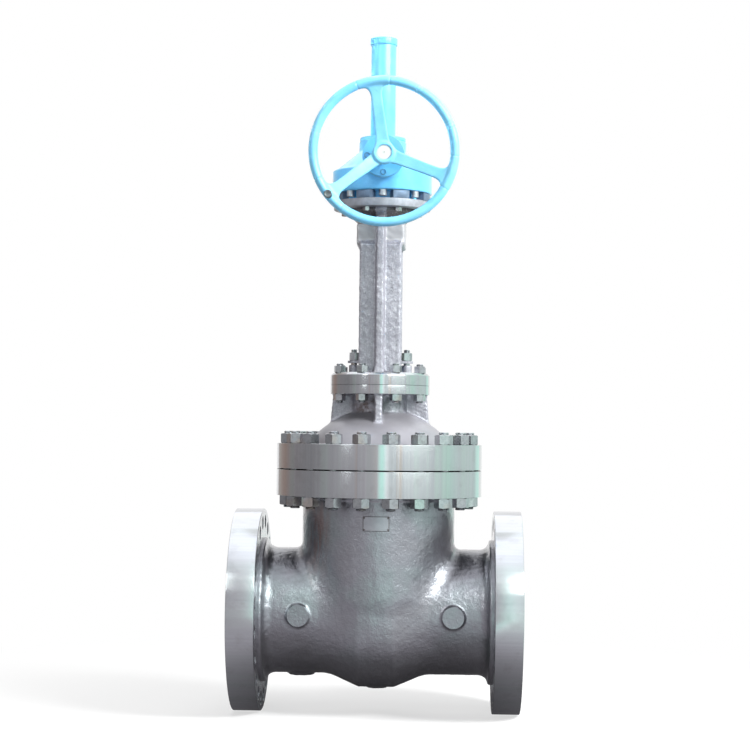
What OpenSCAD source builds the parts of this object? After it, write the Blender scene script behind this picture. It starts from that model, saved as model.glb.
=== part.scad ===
// Flanged gate valve: cast steel body with a bolted bonnet, an outside yoke, and a
// bevel gear operator with a handwheel. The stem is down and the wedge is closed.
// Millimetres. The origin is the centre of the inlet flange's raised face, +X runs
// along the pipe, +Z runs up the stem, and the handwheel is on the -Y side.

/* [Pipe ends] */
// Distance between the two raised flange faces
face_to_face = 1118; // [1090:2:1220]
// Flow bore from end to end
bore_d = 406; // [390:2:416]
// Outside diameter of each pipe flange
pipe_flange_d = 785; // [770:5:810]
// Thickness of each pipe flange behind its raised face
pipe_flange_t = 106; // [96:1:112]
// Diameter of the raised sealing face
raised_face_d = 533; // [510:1:560]
// Height of the raised sealing face
raised_face_h = 6.5; // [2:0.5:8]
// Distance from each pipe bolt hole's axis to the flange's rim
pipe_bolt_edge = 49.5; // [44:0.5:55]
// Diameter of each pipe bolt hole
pipe_bolt_hole_d = 51; // [45:1:54]
// Number of bolt holes in each pipe flange
pipe_bolts = 20; // [16:4:24]

/* [Body casting] */
// Outside diameter of the barrels between the flanges and the gate pocket
barrel_d = 486; // [470:2:500]
// Radius of the fillet between a barrel and the back of its flange
barrel_fillet_r = 37; // [25:1:45]
// Width of the machined hub ring at the back of each pipe flange
hub_ring_w = 17; // [8:1:25]
// Outside diameter of the round neck under the body flange
neck_d = 590; // [570:2:606]
// Width of the gate pocket along the pipe, at the pipe's axis
pocket_w = 372; // [350:2:400]
// Height above the pipe's axis where the pocket has grown to the neck's width
pocket_shoulder_z = 300; // [270:5:330]
// Depth of the rounded belly below the pipe's axis
belly_r = 289; // [275:1:300]
// Radius of the belly's curve along the pipe
belly_crown_r = 327; // [310:1:345]
// Thickness of the casting's walls
wall_t = 40; // [34:1:48]
// Diameter of the round bosses on the barrels
side_boss_d = 86; // [70:2:100]
// Distance from the stem's axis to each barrel boss
side_boss_x = 293; // [270:1:315]
// Height of the barrel bosses above the barrel
side_boss_h = 14; // [8:1:20]
// Diameter of the boss under the inlet barrel
lower_boss_d = 100; // [80:2:110]
// Diameter of the drain boss under the belly
drain_boss_d = 78; // [60:2:100]
// Height of the two lower bosses
lower_boss_h = 9; // [5:1:14]
// Width of the blank plate on the neck
name_plate_w = 100; // [80:2:120]
// Height of the blank plate on the neck
name_plate_h = 56; // [40:2:64]
// Thickness of the blank plate
name_plate_t = 3; // [1.5:0.5:4]
// Height of the middle of the blank plate above the pipe's axis
name_plate_z = 352; // [340:1:364]

/* [Body joint] */
// Diameter of the body and bonnet flanges
joint_flange_d = 797; // [785:1:810]
// Height of the bottom of the body flange above the pipe's axis
joint_bottom_z = 449; // [440:1:460]
// Thickness of the body flange
body_flange_t = 100; // [90:1:110]
// Thickness of the bonnet flange
bonnet_flange_t = 96; // [88:1:106]
// Gap between the two flanges, held open by the gasket
joint_gap = 4.5; // [3:0.5:8]
// Width of the gasket's ring around the opening
gasket_w = 30; // [20:1:30]
// Distance from each stud's axis to the rim of the flanges
joint_stud_edge = 45.5; // [43:0.5:50]
// Number of studs in the joint
joint_studs = 20; // [16:4:20]
// Diameter of each stud in the joint
joint_stud_d = 38; // [33:1:39]
// Width across the flats of the joint's nuts
joint_nut_af = 60; // [55:1:62]
// Height of the joint's nuts
joint_nut_h = 38; // [33:1:40]

/* [Bonnet] */
// Radius of the bonnet's dome
dome_r = 356; // [350:1:364]
// Height of the dome's crown above the bonnet flange
dome_rise = 136; // [132:1:144]
// Outside diameter of the stuffing box
stuffing_box_d = 210; // [196:2:216]
// Thickness of the four ribs around the stuffing box
bonnet_rib_t = 28; // [20:1:34]
// How far the ribs' tops sit in from the rim of the bonnet's top flange
bonnet_rib_in = 11; // [6:1:16]
// Diameter of the flanges between the bonnet and the yoke
yoke_flange_d = 386; // [380:1:396]
// Height of the underside of the bonnet's top flange
bonnet_top_z = 841; // [832:1:850]
// Thickness of the bonnet's top flange
bonnet_top_t = 35; // [30:1:40]
// Distance from each yoke stud's axis to the rim of the flanges
yoke_stud_edge = 26; // [24:0.5:29]
// Number of studs in the yoke joint
yoke_studs_count = 8; // [8:4:8]
// Diameter of each yoke stud
yoke_stud_d = 27; // [22:1:28]
// Width across the flats of the yoke nuts
yoke_nut_af = 41; // [36:1:44]
// Height of the yoke nuts
yoke_nut_h = 26; // [20:1:28]

/* [Stem and gate] */
// Diameter of the stem
stem_d = 70; // [64:1:76]
// Thickness of the wedge at the pipe's axis
wedge_t = 130; // [120:2:140]
// Slope of each face of the wedge from upright
wedge_angle = 5; // [3:0.5:6]
// Width of the ring of seat metal around the bore
seat_w = 30; // [24:1:34]
// Outside diameter of the packing rings
packing_d = 116; // [108:1:124]
// Length of the stack of packing rings
packing_h = 72; // [60:1:76]
// Depth of the packing stack's top below the top of the bonnet
packing_depth = 30; // [20:1:40]

/* [Gland] */
// Length of the gland flange across the stem
gland_flange_l = 254; // [246:1:262]
// Thickness of the gland flange
gland_flange_t = 11; // [9:1:14]
// Height of the top of the gland flange
gland_top_z = 973; // [966:1:980]
// Distance from the stem's axis to each gland stud
gland_stud_x = 102.5; // [100:0.5:106]
// Diameter of each gland stud
gland_stud_d = 24; // [20:1:26]
// Width across the flats of the gland nuts
gland_nut_af = 36; // [32:1:38]
// Height of the gland nuts
gland_nut_h = 31; // [24:1:34]

/* [Yoke] */
// Thickness of the yoke's bottom flange
yoke_foot_t = 48; // [42:1:54]
// Chamfer on the rim of the yoke's bottom flange
yoke_foot_chamfer = 10; // [4:1:12]
// Width of each yoke arm
arm_w = 161; // [150:1:170]
// Distance from the stem's axis to the inner face of each arm
arm_y = 95; // [90:1:98]
// Thickness of each arm's plate
arm_t = 28; // [22:1:30]
// Thickness of the stiffening rib down the middle of each arm
arm_rib_t = 33; // [26:1:38]
// How far each rib stands out from its arm
arm_rib_h = 48; // [40:1:52]
// Height of the ledge at the top of each arm's plate
arm_top_z = 1433; // [1425:1:1450]
// Height of the underside of the yoke's head
yoke_head_z = 1411; // [1400:1:1420]
// Width of the yoke's head across the arms
yoke_head_w = 186; // [180:1:196]
// Diameter of the yoke's head where it meets the top flange
yoke_flare_d = 276; // [262:2:288]
// Height of the underside of the yoke's top flange
yoke_top_z = 1557; // [1545:1:1580]
// Thickness of the yoke's top flange
yoke_top_t = 30; // [26:1:36]
// Diameter of the yoke's top flange
yoke_top_d = 382; // [376:1:390]

/* [Gear operator] */
// Turn of the operator about the stem, as it was clocked when bolted down
operator_turn = 2.6; // [-5:0.1:5]
// Height of the mounting blocks between the yoke and the gear housing
block_h = 31; // [28:1:36]
// Width of each mounting block
block_w = 66; // [58:1:72]
// Diameter across the outer faces of the mounting blocks
block_circle_d = 374; // [366:1:380]
// Diameter of the gear housing's drum
drum_d = 386; // [380:1:396]
// Height of the drum's side
drum_h = 86; // [80:1:94]
// Height of the sloping shoulder above the drum
shoulder_h = 75; // [70:1:82]
// Diameter of the bearing housing above the shoulder
bearing_d = 182; // [174:1:190]
// Height of the bearing housing above the shoulder
bearing_h = 45; // [38:1:50]
// Height of the cover on the bearing housing
bearing_cover_h = 14; // [10:1:20]
// Diameter of the flanged cover on the pinion housing
pinion_cover_d = 160; // [154:1:168]
// Thickness of the pinion cover
pinion_cover_t = 20; // [16:1:24]
// Distance from the stem's axis to the front of the pinion cover
pinion_front_y = 262; // [256:1:268]
// Diameter of the input shaft
shaft_d = 55; // [46:1:58]
// Height of the input shaft above the top of the yoke's top flange
shaft_rise = 148; // [146:1:150]
// Outside diameter of the stem cover tube
cover_d = 97; // [94:1:104]
// Thickness of the stem cover tube's wall
cover_wall = 6; // [4:1:8]
// Height of the stem cover tube without its cap
cover_h = 362; // [340:1:420]
// Height of the cap on the stem cover tube
cover_cap_h = 27; // [20:1:34]

/* [Handwheel] */
// Outside diameter of the handwheel
wheel_d = 560; // [520:2:600]
// Thickness of the handwheel's round rim
rim_t = 34; // [30:1:38]
// Distance from the stem's axis to the middle of the rim
wheel_y = 372; // [366:1:380]
// How far the hub's front face sits behind the middle of the rim
wheel_dish = 28; // [20:1:36]
// Diameter of the handwheel's hub
hub_d = 80; // [76:1:90]
// Length of the handwheel's hub
hub_l = 52; // [46:1:60]
// Width of each spoke
spoke_w = 42; // [36:1:46]
// Thickness of the spokes and of the webs that spread into the rim
spoke_t = 16; // [12:1:20]
// Diameter of the spinner's socket on the rim
spinner_d = 30; // [24:1:34]
// Direction of the first spoke, seen from the front
spoke_angle = 98.5; // [90:0.5:110]

/* [Hidden] */

$fn = 96;

// Small numbers that every fit is made from
fit_gap = 0.3;        // room between round pieces of one body
thread_gap = 0.2;     // room between a thread and its nut
stud_clearance = 3;   // how much wider a clearance hole is than its stud
nut_room = 4;         // room around a nut's corners for a spanner
stem_room = 2;        // how much wider an open stem hole is than the stem
running_gap = 0.05;   // room around the turning shaft
edge_chamfer = 3;     // chamfer on machined flange rims
cut = 1;              // how far a cutting shape runs past a face

// Places along the pipe
mid_x = face_to_face / 2;
flange_back_x = mid_x - raised_face_h - pipe_flange_t;
hub_ring_x = flange_back_x - hub_ring_w;
barrel_r = barrel_d / 2;
hub_ring_r = barrel_r + barrel_fillet_r;
pipe_bolt_circle_d = pipe_flange_d - 2 * pipe_bolt_edge;
boss_root = 46;           // how far a boss runs down into its casting

// Heights up the stem
joint_seam_z = joint_bottom_z + body_flange_t;
bonnet_z = joint_seam_z + joint_gap;
bonnet_flange_top_z = bonnet_z + bonnet_flange_t;
dome_crown_z = bonnet_flange_top_z + dome_rise;
dome_centre_z = dome_crown_z - dome_r;
yoke_z = bonnet_top_z + bonnet_top_t;
yoke_foot_top_z = yoke_z + yoke_foot_t;
block_z = yoke_top_z + yoke_top_t;
drum_z = block_z + block_h;
shoulder_z = drum_z + drum_h;
bearing_z = shoulder_z + shoulder_h;
housing_top_z = bearing_z + bearing_h;
cover_base_z = housing_top_z + bearing_cover_h;
cover_top_z = cover_base_z + cover_h;
shaft_z = block_z + shaft_rise;

// Gate pocket
neck_r = neck_d / 2;
pocket_half = pocket_w / 2;
chamber_r = neck_r - wall_t;
pocket_steps = 10;
joint_stud_circle_d = joint_flange_d - 2 * joint_stud_edge;
gasket_r = chamber_r + gasket_w;

// Stem and packing
stem_r = stem_d / 2;
stem_top_room = 10;       // room over the stem in its cover when it is raised
packing_z = yoke_z - packing_h - packing_depth;
follower_z = packing_z + packing_h + fit_gap;
seat_od = bore_d + 2 * seat_w;
seat_l = 52;              // length of a seat ring past the wedge's faces
seat_back_x = wedge_t / 2 + seat_l;
seat_step = 4;            // how far the seat rings' rims stand out past the wedge
wedge_r = bore_d / 2 + seat_w - seat_step;
wedge_travel = bore_d + seat_w;
stem_top_z = cover_top_z - stem_top_room - wedge_travel;
wedge_rim_room = 8;       // how far the sloping cut runs past the wedge's rim
stem_socket = 10;         // depth of the stem's end in the wedge
lug_w = 46;               // how much wider the wedge's lug is than the stem
lug_h = 46;               // height of the lug above the wedge
lug_root = 24;            // how far the lug runs down into the wedge

// Gland and sleeve
gland_well_d = packing_d + 34;
gland_stud_depth = 31;    // depth of the gland studs in the bonnet's top flange
gland_stud_out = 12;      // bare stud past each gland nut
gland_lug_h = 32;         // height of the lugs that the gland studs pass through
gland_lug_wall = 8;       // wall of those lugs around the stud
gland_web_edge = 4;       // how far the gland flange's web stands past its nuts
yoke_stud_circle_d = yoke_flange_d - 2 * yoke_stud_edge;
sleeve_wall = 20;         // wall of the yoke sleeve
sleeve_collar = 10;       // how far the sleeve's collar stands out
sleeve_collar_h = 70;
sleeve_rise = 6;          // height of the sleeve's end above the head's underside
sleeve_d = stem_d + 2 * sleeve_wall;
sleeve_bore_d = sleeve_d + 2 * sleeve_collar;
yoke_head_in = 12;        // how far the head sits in from the arms' outer faces
yoke_head_flat_h = 86;    // height of the head's flat sides
yoke_flare_low = 76;      // height where the flare starts above the head's underside
yoke_flare_high = 36;     // height of the flare's straight rim under the top flange
arm_foot_h = 26;          // height of each rib's spread foot

// Bolting
joint_stud_out = 9;       // bare stud past each nut of the body joint
joint_nut_room_r = joint_nut_af / 2 / cos(30) + nut_room;
yoke_stud_out = 8;        // bare stud past each nut of the yoke joint
block_bolt_circle_d = 320;
block_bolt_d = 16;
block_bolt_af = 24;
block_bolt_head_h = 20;
block_bolt_l = 48;
block_count = 8;
block_depth = 42;         // how deep each mounting block is, from its outer face in
spigot_d = block_circle_d - 2 * block_depth;
pinion_lip = 12;          // how far the pinion cover stands out past its housing
pinion_housing_d = pinion_cover_d - 2 * pinion_lip;
pinion_back_y = stem_d + 10;
pinion_wall = 12;         // wall behind the shaft's end
shoulder_in = 47;         // width of the sloping shoulder
shoulder_rise = 19;       // height of the shoulder's slope
bearing_cover_in = 2;     // how far the bearing's cover sits in from its rim
cap_lip = 4;              // how far the cap stands out past the cover tube
housing_screw_circle_d = 346;
housing_screw_head_d = 27;
housing_screw_head_h = 21;
housing_screw_d = 16;
housing_screw_l = 30;
cover_screw_circle_d = 124;
cover_screw_d = 16;
cover_screw_head_d = 24;
cover_screw_head_h = 11;
cover_screw_l = 22;
cover_screw_key = 12;
cover_screw_key_depth = 6;
cover_screw_count = 4;
cover_screw_proud = 3;    // how far the screw heads stand out of the pinion cover
cover_screw_seat_y = pinion_front_y + cover_screw_proud - cover_screw_head_h;

// Handwheel
rim_r = (wheel_d - rim_t) / 2;
hub_front_y = wheel_y - wheel_dish;
hub_back_y = hub_front_y - hub_l;
tee_angle = 17;           // half the angle that each spoke's cast rim piece takes up
rim_joint_angle = 0.1;    // open seam between a cast rim piece and the rim tube
spinner_h = 16;
spinner_key = 14;
spinner_wall = 4;         // floor of the spinner socket
spinner_seat_y = wheel_y + rim_t / 2 - 7;
shaft_in = 3;             // how far the shaft's end sits back from the hub's face
centre_hole_d = 5;
centre_hole_depth = 4;
shaft_end_room = 2;       // room behind the shaft's inner end
flare_l = 70;             // how far the webs start in from the rim's centreline
flare_scoop_r = 44;       // radius of the hollow on each side of a web
flare_scoop_in = 62;      // distance of those hollows in from the rim's centreline
spoke_in = 12;            // how far the spokes run into the hub and short of the rim
spoke_taper = 4;          // how much narrower each side of a spoke is at the rim
spoke_root = 8;           // length of each squared end of a spoke

cast_grey = "dimgray";
light_grey = "darkgray";
steel = "silver";
blue = "deepskyblue";

// A frame whose origin is where the stem's axis meets the pipe's axis
module at_stem() {
    translate([mid_x, 0, 0]) children();
}

// The same frame, turned as the operator is clocked
module at_operator() {
    at_stem() rotate([0, 0, operator_turn]) children();
}

// A frame with its Z along the input shaft, away from the stem, and its Y up
module along_shaft() {
    at_operator() translate([0, 0, shaft_z]) rotate([90, 0, 0]) children();
}

// Copies spread round Z, starting half a step from the front
module ring_of(count, circle_d) {
    for (i = [0 : count - 1]) {
        rotate([0, 0, (i + 0.5) * 360 / count - 90]) translate([circle_d / 2, 0, 0]) children();
    }
}

// A disc with chamfered rims, from z = 0 up
module chamfered_disc(d, h, lower, upper) {
    rotate_extrude() polygon([
        [0, 0], [d / 2 - lower, 0], [d / 2, lower], [d / 2, h - upper], [d / 2 - upper, h], [0, h]
    ]);
}

// A hexagon nut standing on z = 0, threaded for a stud
module nut(af, h, stud_d) {
    difference() {
        cylinder(h = h, d = af / cos(30), $fn = 6);
        translate([0, 0, -cut]) cylinder(h = h + 2 * cut, d = stud_d + 2 * thread_gap);
    }
}

// Bodies of revolution about the pipe's axis are drawn as [radius, x]
module round_pipe_axis() {
    rotate([0, 90, 0]) rotate_extrude() children();
}

// Half of the run of the casting: hub ring, fillet and barrel
module run_outline() {
    fillet = [
        for (a = [0 : 15 : 90])
            [hub_ring_r - barrel_fillet_r * cos(a), hub_ring_x - barrel_fillet_r * (1 - sin(a))]
    ];
    polygon(concat(
        [[0, 0], [barrel_r, 0]],
        fillet,
        [[hub_ring_r, flange_back_x], [0, flange_back_x]]
    ));
}

// Half width of the pocket along the pipe, at a share t of the way up to its shoulder
function pocket_half_at(t) = pocket_half + (neck_r - pocket_half) * t * t * (3 - 2 * t);

// Front view of the pocket, from the pipe's axis up to the neck's top, drawn in inset
module pocket_outline(inset, top_z) {
    right = [
        for (i = [0 : pocket_steps])
            [pocket_half_at(i / pocket_steps) - inset, pocket_shoulder_z * i / pocket_steps]
    ];
    upper = [[neck_r - inset, top_z], [inset - neck_r, top_z]];
    left = [for (i = [pocket_steps : -1 : 0]) [-right[i][0], right[i][1]]];
    polygon(concat(right, upper, left));
}

// Upper part of the pocket: its front view cut out of the round neck
module pocket_upper(inset, top_z) {
    intersection() {
        cylinder(h = top_z, r = neck_r - inset);
        rotate([90, 0, 0]) translate([0, 0, -neck_r])
            linear_extrude(height = 2 * neck_r) pocket_outline(inset, top_z);
    }
}

// Lower part of the pocket: a belly that swells out of the barrels
module belly(inset) {
    crown = belly_crown_r - inset;
    half = pocket_half - inset;
    round_pipe_axis() intersection() {
        translate([belly_r - inset - crown, 0]) circle(r = crown);
        translate([0, -half]) square([belly_r, 2 * half]);
    }
}

// A boss on the front and the back of a barrel
module side_bosses() {
    for (side = [-1, 1]) translate([0, side * (barrel_r + side_boss_h), 0])
        rotate([side * 90, 0, 0]) cylinder(h = side_boss_h + boss_root, d = side_boss_d);
}

module body_casting() {
    color(cast_grey) at_stem() difference() {
        union() {
            round_pipe_axis() run_outline();
            mirror([1, 0, 0]) round_pipe_axis() run_outline();
            pocket_upper(0, joint_bottom_z);
            belly(0);
            for (side = [-1, 1]) translate([side * side_boss_x, 0, 0]) side_bosses();
            translate([-side_boss_x, 0, -barrel_r - lower_boss_h])
                cylinder(h = boss_root, d = lower_boss_d);
            translate([0, 0, -belly_r - lower_boss_h]) cylinder(h = boss_root, d = drain_boss_d);
        }
        // Flow bore
        translate([-mid_x - cut, 0, 0]) rotate([0, 90, 0])
            cylinder(h = face_to_face + 2 * cut, d = bore_d);
        // Pockets that the seat rings are pressed into
        translate([-seat_back_x, 0, 0]) rotate([0, 90, 0])
            cylinder(h = 2 * seat_back_x, d = seat_od + 2 * fit_gap);
        // Chamber that the wedge rises through, open at the top
        belly(wall_t);
        pocket_upper(wall_t, joint_bottom_z + cut);
        // Room for the joint's nuts beside the neck
        translate([0, 0, joint_bottom_z - joint_nut_h - joint_stud_out - nut_room])
            ring_of(joint_studs, joint_stud_circle_d)
                cylinder(h = joint_nut_h + joint_stud_out + nut_room, r = joint_nut_room_r);
    }
}

// An end flange with its raised face, on the inlet's side or the outlet's
module pipe_flange(side) {
    rim_r = pipe_flange_d / 2;
    face_x = mid_x - raised_face_h;
    color(steel) at_stem() rotate([0, 90 * side, 0]) difference() {
        rotate_extrude() polygon([
            [bore_d / 2, flange_back_x], [rim_r - edge_chamfer, flange_back_x],
            [rim_r, flange_back_x + edge_chamfer], [rim_r, face_x - edge_chamfer],
            [rim_r - edge_chamfer, face_x], [raised_face_d / 2, face_x],
            [raised_face_d / 2, mid_x], [bore_d / 2, mid_x]
        ]);
        translate([0, 0, flange_back_x - cut]) ring_of(pipe_bolts, pipe_bolt_circle_d)
            cylinder(h = pipe_flange_t + 2 * cut, d = pipe_bolt_hole_d);
    }
}

module inlet_flange() {
    pipe_flange(-1);
}

module outlet_flange() {
    pipe_flange(1);
}

// One of the two large flanges, standing on its base, with the joint's stud holes
module joint_flange(base_z, t) {
    translate([0, 0, base_z]) difference() {
        chamfered_disc(joint_flange_d, t, edge_chamfer, edge_chamfer);
        translate([0, 0, -cut]) ring_of(joint_studs, joint_stud_circle_d)
            cylinder(h = t + 2 * cut, d = joint_stud_d + stud_clearance);
    }
}

module body_flange() {
    color(steel) at_stem() difference() {
        joint_flange(joint_bottom_z, body_flange_t);
        translate([0, 0, joint_bottom_z - cut]) cylinder(h = body_flange_t + 2 * cut, r = chamber_r);
    }
}

// Side view of the wedge, grown by a gap on its two faces
module wedge_profile(gap) {
    reach = wedge_r + wedge_rim_room;
    lean = reach * tan(wedge_angle);
    polygon([
        [-wedge_t / 2 + lean - gap, -reach], [wedge_t / 2 - lean + gap, -reach],
        [wedge_t / 2 + lean + gap, reach], [-wedge_t / 2 - lean - gap, reach]
    ]);
}

module seat_ring(side) {
    at_stem() difference() {
        translate([side * seat_back_x, 0, 0]) rotate([0, -90 * side, 0]) difference() {
            cylinder(h = seat_back_x, d = seat_od);
            translate([0, 0, -cut]) cylinder(h = seat_back_x + 2 * cut, d = bore_d);
        }
        rotate([90, 0, 0]) translate([0, 0, -seat_od])
            linear_extrude(height = 2 * seat_od) wedge_profile(fit_gap);
    }
}

module inlet_seat_ring() {
    color(steel) seat_ring(-1);
}

module outlet_seat_ring() {
    color(steel) seat_ring(1);
}

module gate_wedge() {
    color(steel) at_stem() difference() {
        union() {
            intersection() {
                rotate([0, 90, 0]) cylinder(h = 4 * wedge_t, r = wedge_r, center = true);
                rotate([90, 0, 0]) translate([0, 0, -wedge_r])
                    linear_extrude(height = 2 * wedge_r) wedge_profile(0);
            }
            translate([0, 0, wedge_r - lug_root]) cylinder(h = lug_h + lug_root, d = stem_d + lug_w);
        }
        translate([0, 0, wedge_r - stem_socket]) cylinder(h = wedge_r, d = stem_d + 2 * thread_gap);
    }
}

module stem() {
    low = wedge_r - stem_socket + fit_gap;
    color(steel) at_stem() translate([0, 0, low]) cylinder(h = stem_top_z - low, r = stem_r);
}

module bonnet_gasket() {
    color("slategray") at_stem() translate([0, 0, joint_seam_z]) difference() {
        cylinder(h = joint_gap, r = gasket_r);
        translate([0, 0, -cut]) cylinder(h = joint_gap + 2 * cut, r = chamber_r);
    }
}

// One rib of the bonnet, between the dome and its top flange, drawn on +X
module bonnet_rib() {
    outer = yoke_flange_d / 2;
    inner = stuffing_box_d / 2 - bonnet_rib_in;
    foot_z = dome_centre_z + sqrt(pow(dome_r - wall_t / 2, 2) - pow(outer, 2));
    rotate([90, 0, 0]) translate([0, 0, -bonnet_rib_t / 2]) linear_extrude(height = bonnet_rib_t)
        polygon([
            [inner, bonnet_top_z], [outer - bonnet_rib_in, bonnet_top_z], [outer, foot_z],
            [inner, foot_z]
        ]);
}

// The hollow under the dome, that the wedge rises into
module bonnet_hollow() {
    intersection() {
        translate([0, 0, dome_centre_z]) sphere(r = dome_r - wall_t);
        translate([0, 0, bonnet_z - cut]) cylinder(h = dome_r, r = chamber_r);
    }
}

module bonnet_flange() {
    color(steel) at_stem() difference() {
        joint_flange(bonnet_z, bonnet_flange_t);
        bonnet_hollow();
    }
}

module bonnet_casting() {
    color(light_grey) at_stem() difference() {
        union() {
            intersection() {
                translate([0, 0, dome_centre_z]) sphere(r = dome_r);
                translate([0, 0, bonnet_flange_top_z]) cylinder(h = dome_r, r = dome_r);
            }
            translate([0, 0, bonnet_flange_top_z])
                cylinder(h = yoke_z - bonnet_flange_top_z, d = stuffing_box_d);
            translate([0, 0, bonnet_top_z])
                chamfered_disc(yoke_flange_d, bonnet_top_t, edge_chamfer, 1);
            for (a = [0 : 90 : 270]) rotate([0, 0, a]) bonnet_rib();
        }
        bonnet_hollow();
        // Room for the joint's nuts beside the dome
        translate([0, 0, bonnet_flange_top_z]) ring_of(joint_studs, joint_stud_circle_d)
            cylinder(h = joint_nut_h + joint_stud_out + nut_room, r = joint_nut_room_r);
        // Stem bore and packing chamber
        translate([0, 0, bonnet_z]) cylinder(h = yoke_z, d = stem_d + 2 * fit_gap);
        translate([0, 0, packing_z]) cylinder(h = yoke_z, d = packing_d);
        translate([0, 0, bonnet_top_z - cut]) ring_of(yoke_studs_count, yoke_stud_circle_d)
            cylinder(h = bonnet_top_t + 2 * cut, d = yoke_stud_d + stud_clearance);
        // Tapped holes for the gland studs
        for (side = [-1, 1]) translate([side * gland_stud_x, 0, yoke_z - gland_stud_depth])
            cylinder(h = bonnet_top_t, d = gland_stud_d + 2 * thread_gap);
    }
}

module joint_studs() {
    low = joint_bottom_z - joint_nut_h - joint_stud_out;
    high = bonnet_flange_top_z + joint_nut_h + joint_stud_out;
    color(steel) at_stem() translate([0, 0, low]) ring_of(joint_studs, joint_stud_circle_d)
        cylinder(h = high - low, d = joint_stud_d);
}

module joint_upper_nuts() {
    color(steel) at_stem() translate([0, 0, bonnet_flange_top_z])
        ring_of(joint_studs, joint_stud_circle_d) nut(joint_nut_af, joint_nut_h, joint_stud_d);
}

module joint_lower_nuts() {
    color(steel) at_stem() translate([0, 0, joint_bottom_z - joint_nut_h])
        ring_of(joint_studs, joint_stud_circle_d) nut(joint_nut_af, joint_nut_h, joint_stud_d);
}

module packing_rings() {
    color("black") at_stem() translate([0, 0, packing_z]) difference() {
        cylinder(h = packing_h, d = packing_d - 2 * fit_gap);
        translate([0, 0, -cut]) cylinder(h = packing_h + 2 * cut, d = stem_d + 2 * fit_gap);
    }
}

module gland_follower() {
    color(steel) at_stem() difference() {
        translate([0, 0, follower_z])
            cylinder(h = gland_top_z - gland_flange_t - follower_z, d = packing_d - 2 * fit_gap);
        translate([0, 0, follower_z - cut]) cylinder(h = gland_top_z, d = stem_d + 2 * fit_gap);
    }
}

module gland_flange() {
    color(light_grey) at_stem() translate([0, 0, gland_top_z - gland_flange_t]) difference() {
        union() {
            cylinder(h = gland_flange_t, d = gland_well_d);
            translate([-gland_stud_x, -gland_nut_af / 2 - gland_web_edge, 0])
                cube([2 * gland_stud_x, gland_nut_af + 2 * gland_web_edge, gland_flange_t]);
            for (side = [-1, 1]) translate([side * gland_stud_x, 0, 0])
                cylinder(h = gland_flange_t, d = gland_flange_l - 2 * gland_stud_x);
        }
        translate([0, 0, -cut]) cylinder(h = gland_flange_t + 2 * cut, d = stem_d + stem_room);
        for (side = [-1, 1]) translate([side * gland_stud_x, 0, -cut])
            cylinder(h = gland_flange_t + 2 * cut, d = gland_stud_d + stud_clearance);
    }
}

module gland_studs() {
    low = yoke_z - gland_stud_depth;
    high = gland_top_z + gland_nut_h + gland_stud_out;
    color(steel) at_stem() for (side = [-1, 1]) translate([side * gland_stud_x, 0, low])
        cylinder(h = high - low, d = gland_stud_d);
}

module gland_nuts() {
    color(steel) at_stem() for (side = [-1, 1]) translate([side * gland_stud_x, 0, gland_top_z])
        nut(gland_nut_af, gland_nut_h, gland_stud_d);
}

// One arm of the yoke with its rib, on the -Y side
module yoke_arm() {
    rib_y = arm_y + arm_t + arm_rib_h;
    translate([-arm_w / 2, -arm_y - arm_t, yoke_foot_top_z - cut])
        cube([arm_w, arm_t, arm_top_z - yoke_foot_top_z + cut]);
    translate([-arm_rib_t / 2, -rib_y, yoke_foot_top_z - cut])
        cube([arm_rib_t, rib_y - arm_y - cut, yoke_top_z - yoke_foot_top_z + 2 * cut]);
    // Spread foot of the rib
    translate([0, -arm_y - cut, 0]) rotate([90, 0, 0]) linear_extrude(height = rib_y - arm_y - cut)
        polygon([
            [-arm_rib_t, yoke_foot_top_z - cut], [arm_rib_t, yoke_foot_top_z - cut],
            [arm_rib_t / 2, yoke_foot_top_z + arm_foot_h],
            [-arm_rib_t / 2, yoke_foot_top_z + arm_foot_h]
        ]);
}

module yoke_casting() {
    head_half = yoke_head_w / 2;
    head_y = arm_y + arm_t - yoke_head_in;
    flare_r = yoke_flare_d / 2;
    color(light_grey) at_stem() difference() {
        union() {
            translate([0, 0, yoke_z])
                chamfered_disc(yoke_flange_d, yoke_foot_t, 1, yoke_foot_chamfer);
            for (side = [-1, 1]) translate([side * gland_stud_x, 0, yoke_foot_top_z - cut])
                cylinder(h = gland_lug_h + cut, d = gland_stud_d + 2 * gland_lug_wall);
            yoke_arm();
            mirror([0, 1, 0]) yoke_arm();
            translate([-head_half, -head_y, yoke_head_z])
                cube([yoke_head_w, 2 * head_y, yoke_head_flat_h]);
            rotate_extrude() polygon([
                [0, yoke_head_z + yoke_flare_low], [head_half, yoke_head_z + yoke_flare_low],
                [flare_r, yoke_top_z - yoke_flare_high], [flare_r, yoke_top_z + cut],
                [0, yoke_top_z + cut]
            ]);
            translate([0, 0, yoke_top_z])
                chamfered_disc(yoke_top_d, yoke_top_t, edge_chamfer, edge_chamfer);
        }
        // Room for the gland in the foot, and the bore for the sleeve in the head
        translate([0, 0, yoke_z - cut])
            cylinder(h = yoke_foot_t + 2 * cut, d = gland_well_d);
        translate([0, 0, yoke_head_z - cut])
            cylinder(h = block_z - yoke_head_z + 2 * cut, d = sleeve_bore_d);
        translate([0, 0, yoke_z - cut]) ring_of(yoke_studs_count, yoke_stud_circle_d)
            cylinder(h = yoke_foot_t + 2 * cut, d = yoke_stud_d + stud_clearance);
        for (side = [-1, 1]) translate([side * gland_stud_x, 0, yoke_z - cut])
            cylinder(h = gland_top_z - yoke_z, d = gland_stud_d + 2 * thread_gap);
        rotate([0, 0, operator_turn]) translate([0, 0, yoke_top_z - cut])
            ring_of(block_count, block_bolt_circle_d)
                cylinder(h = yoke_top_t + 2 * cut, d = block_bolt_d + stud_clearance / 2);
    }
}

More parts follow.
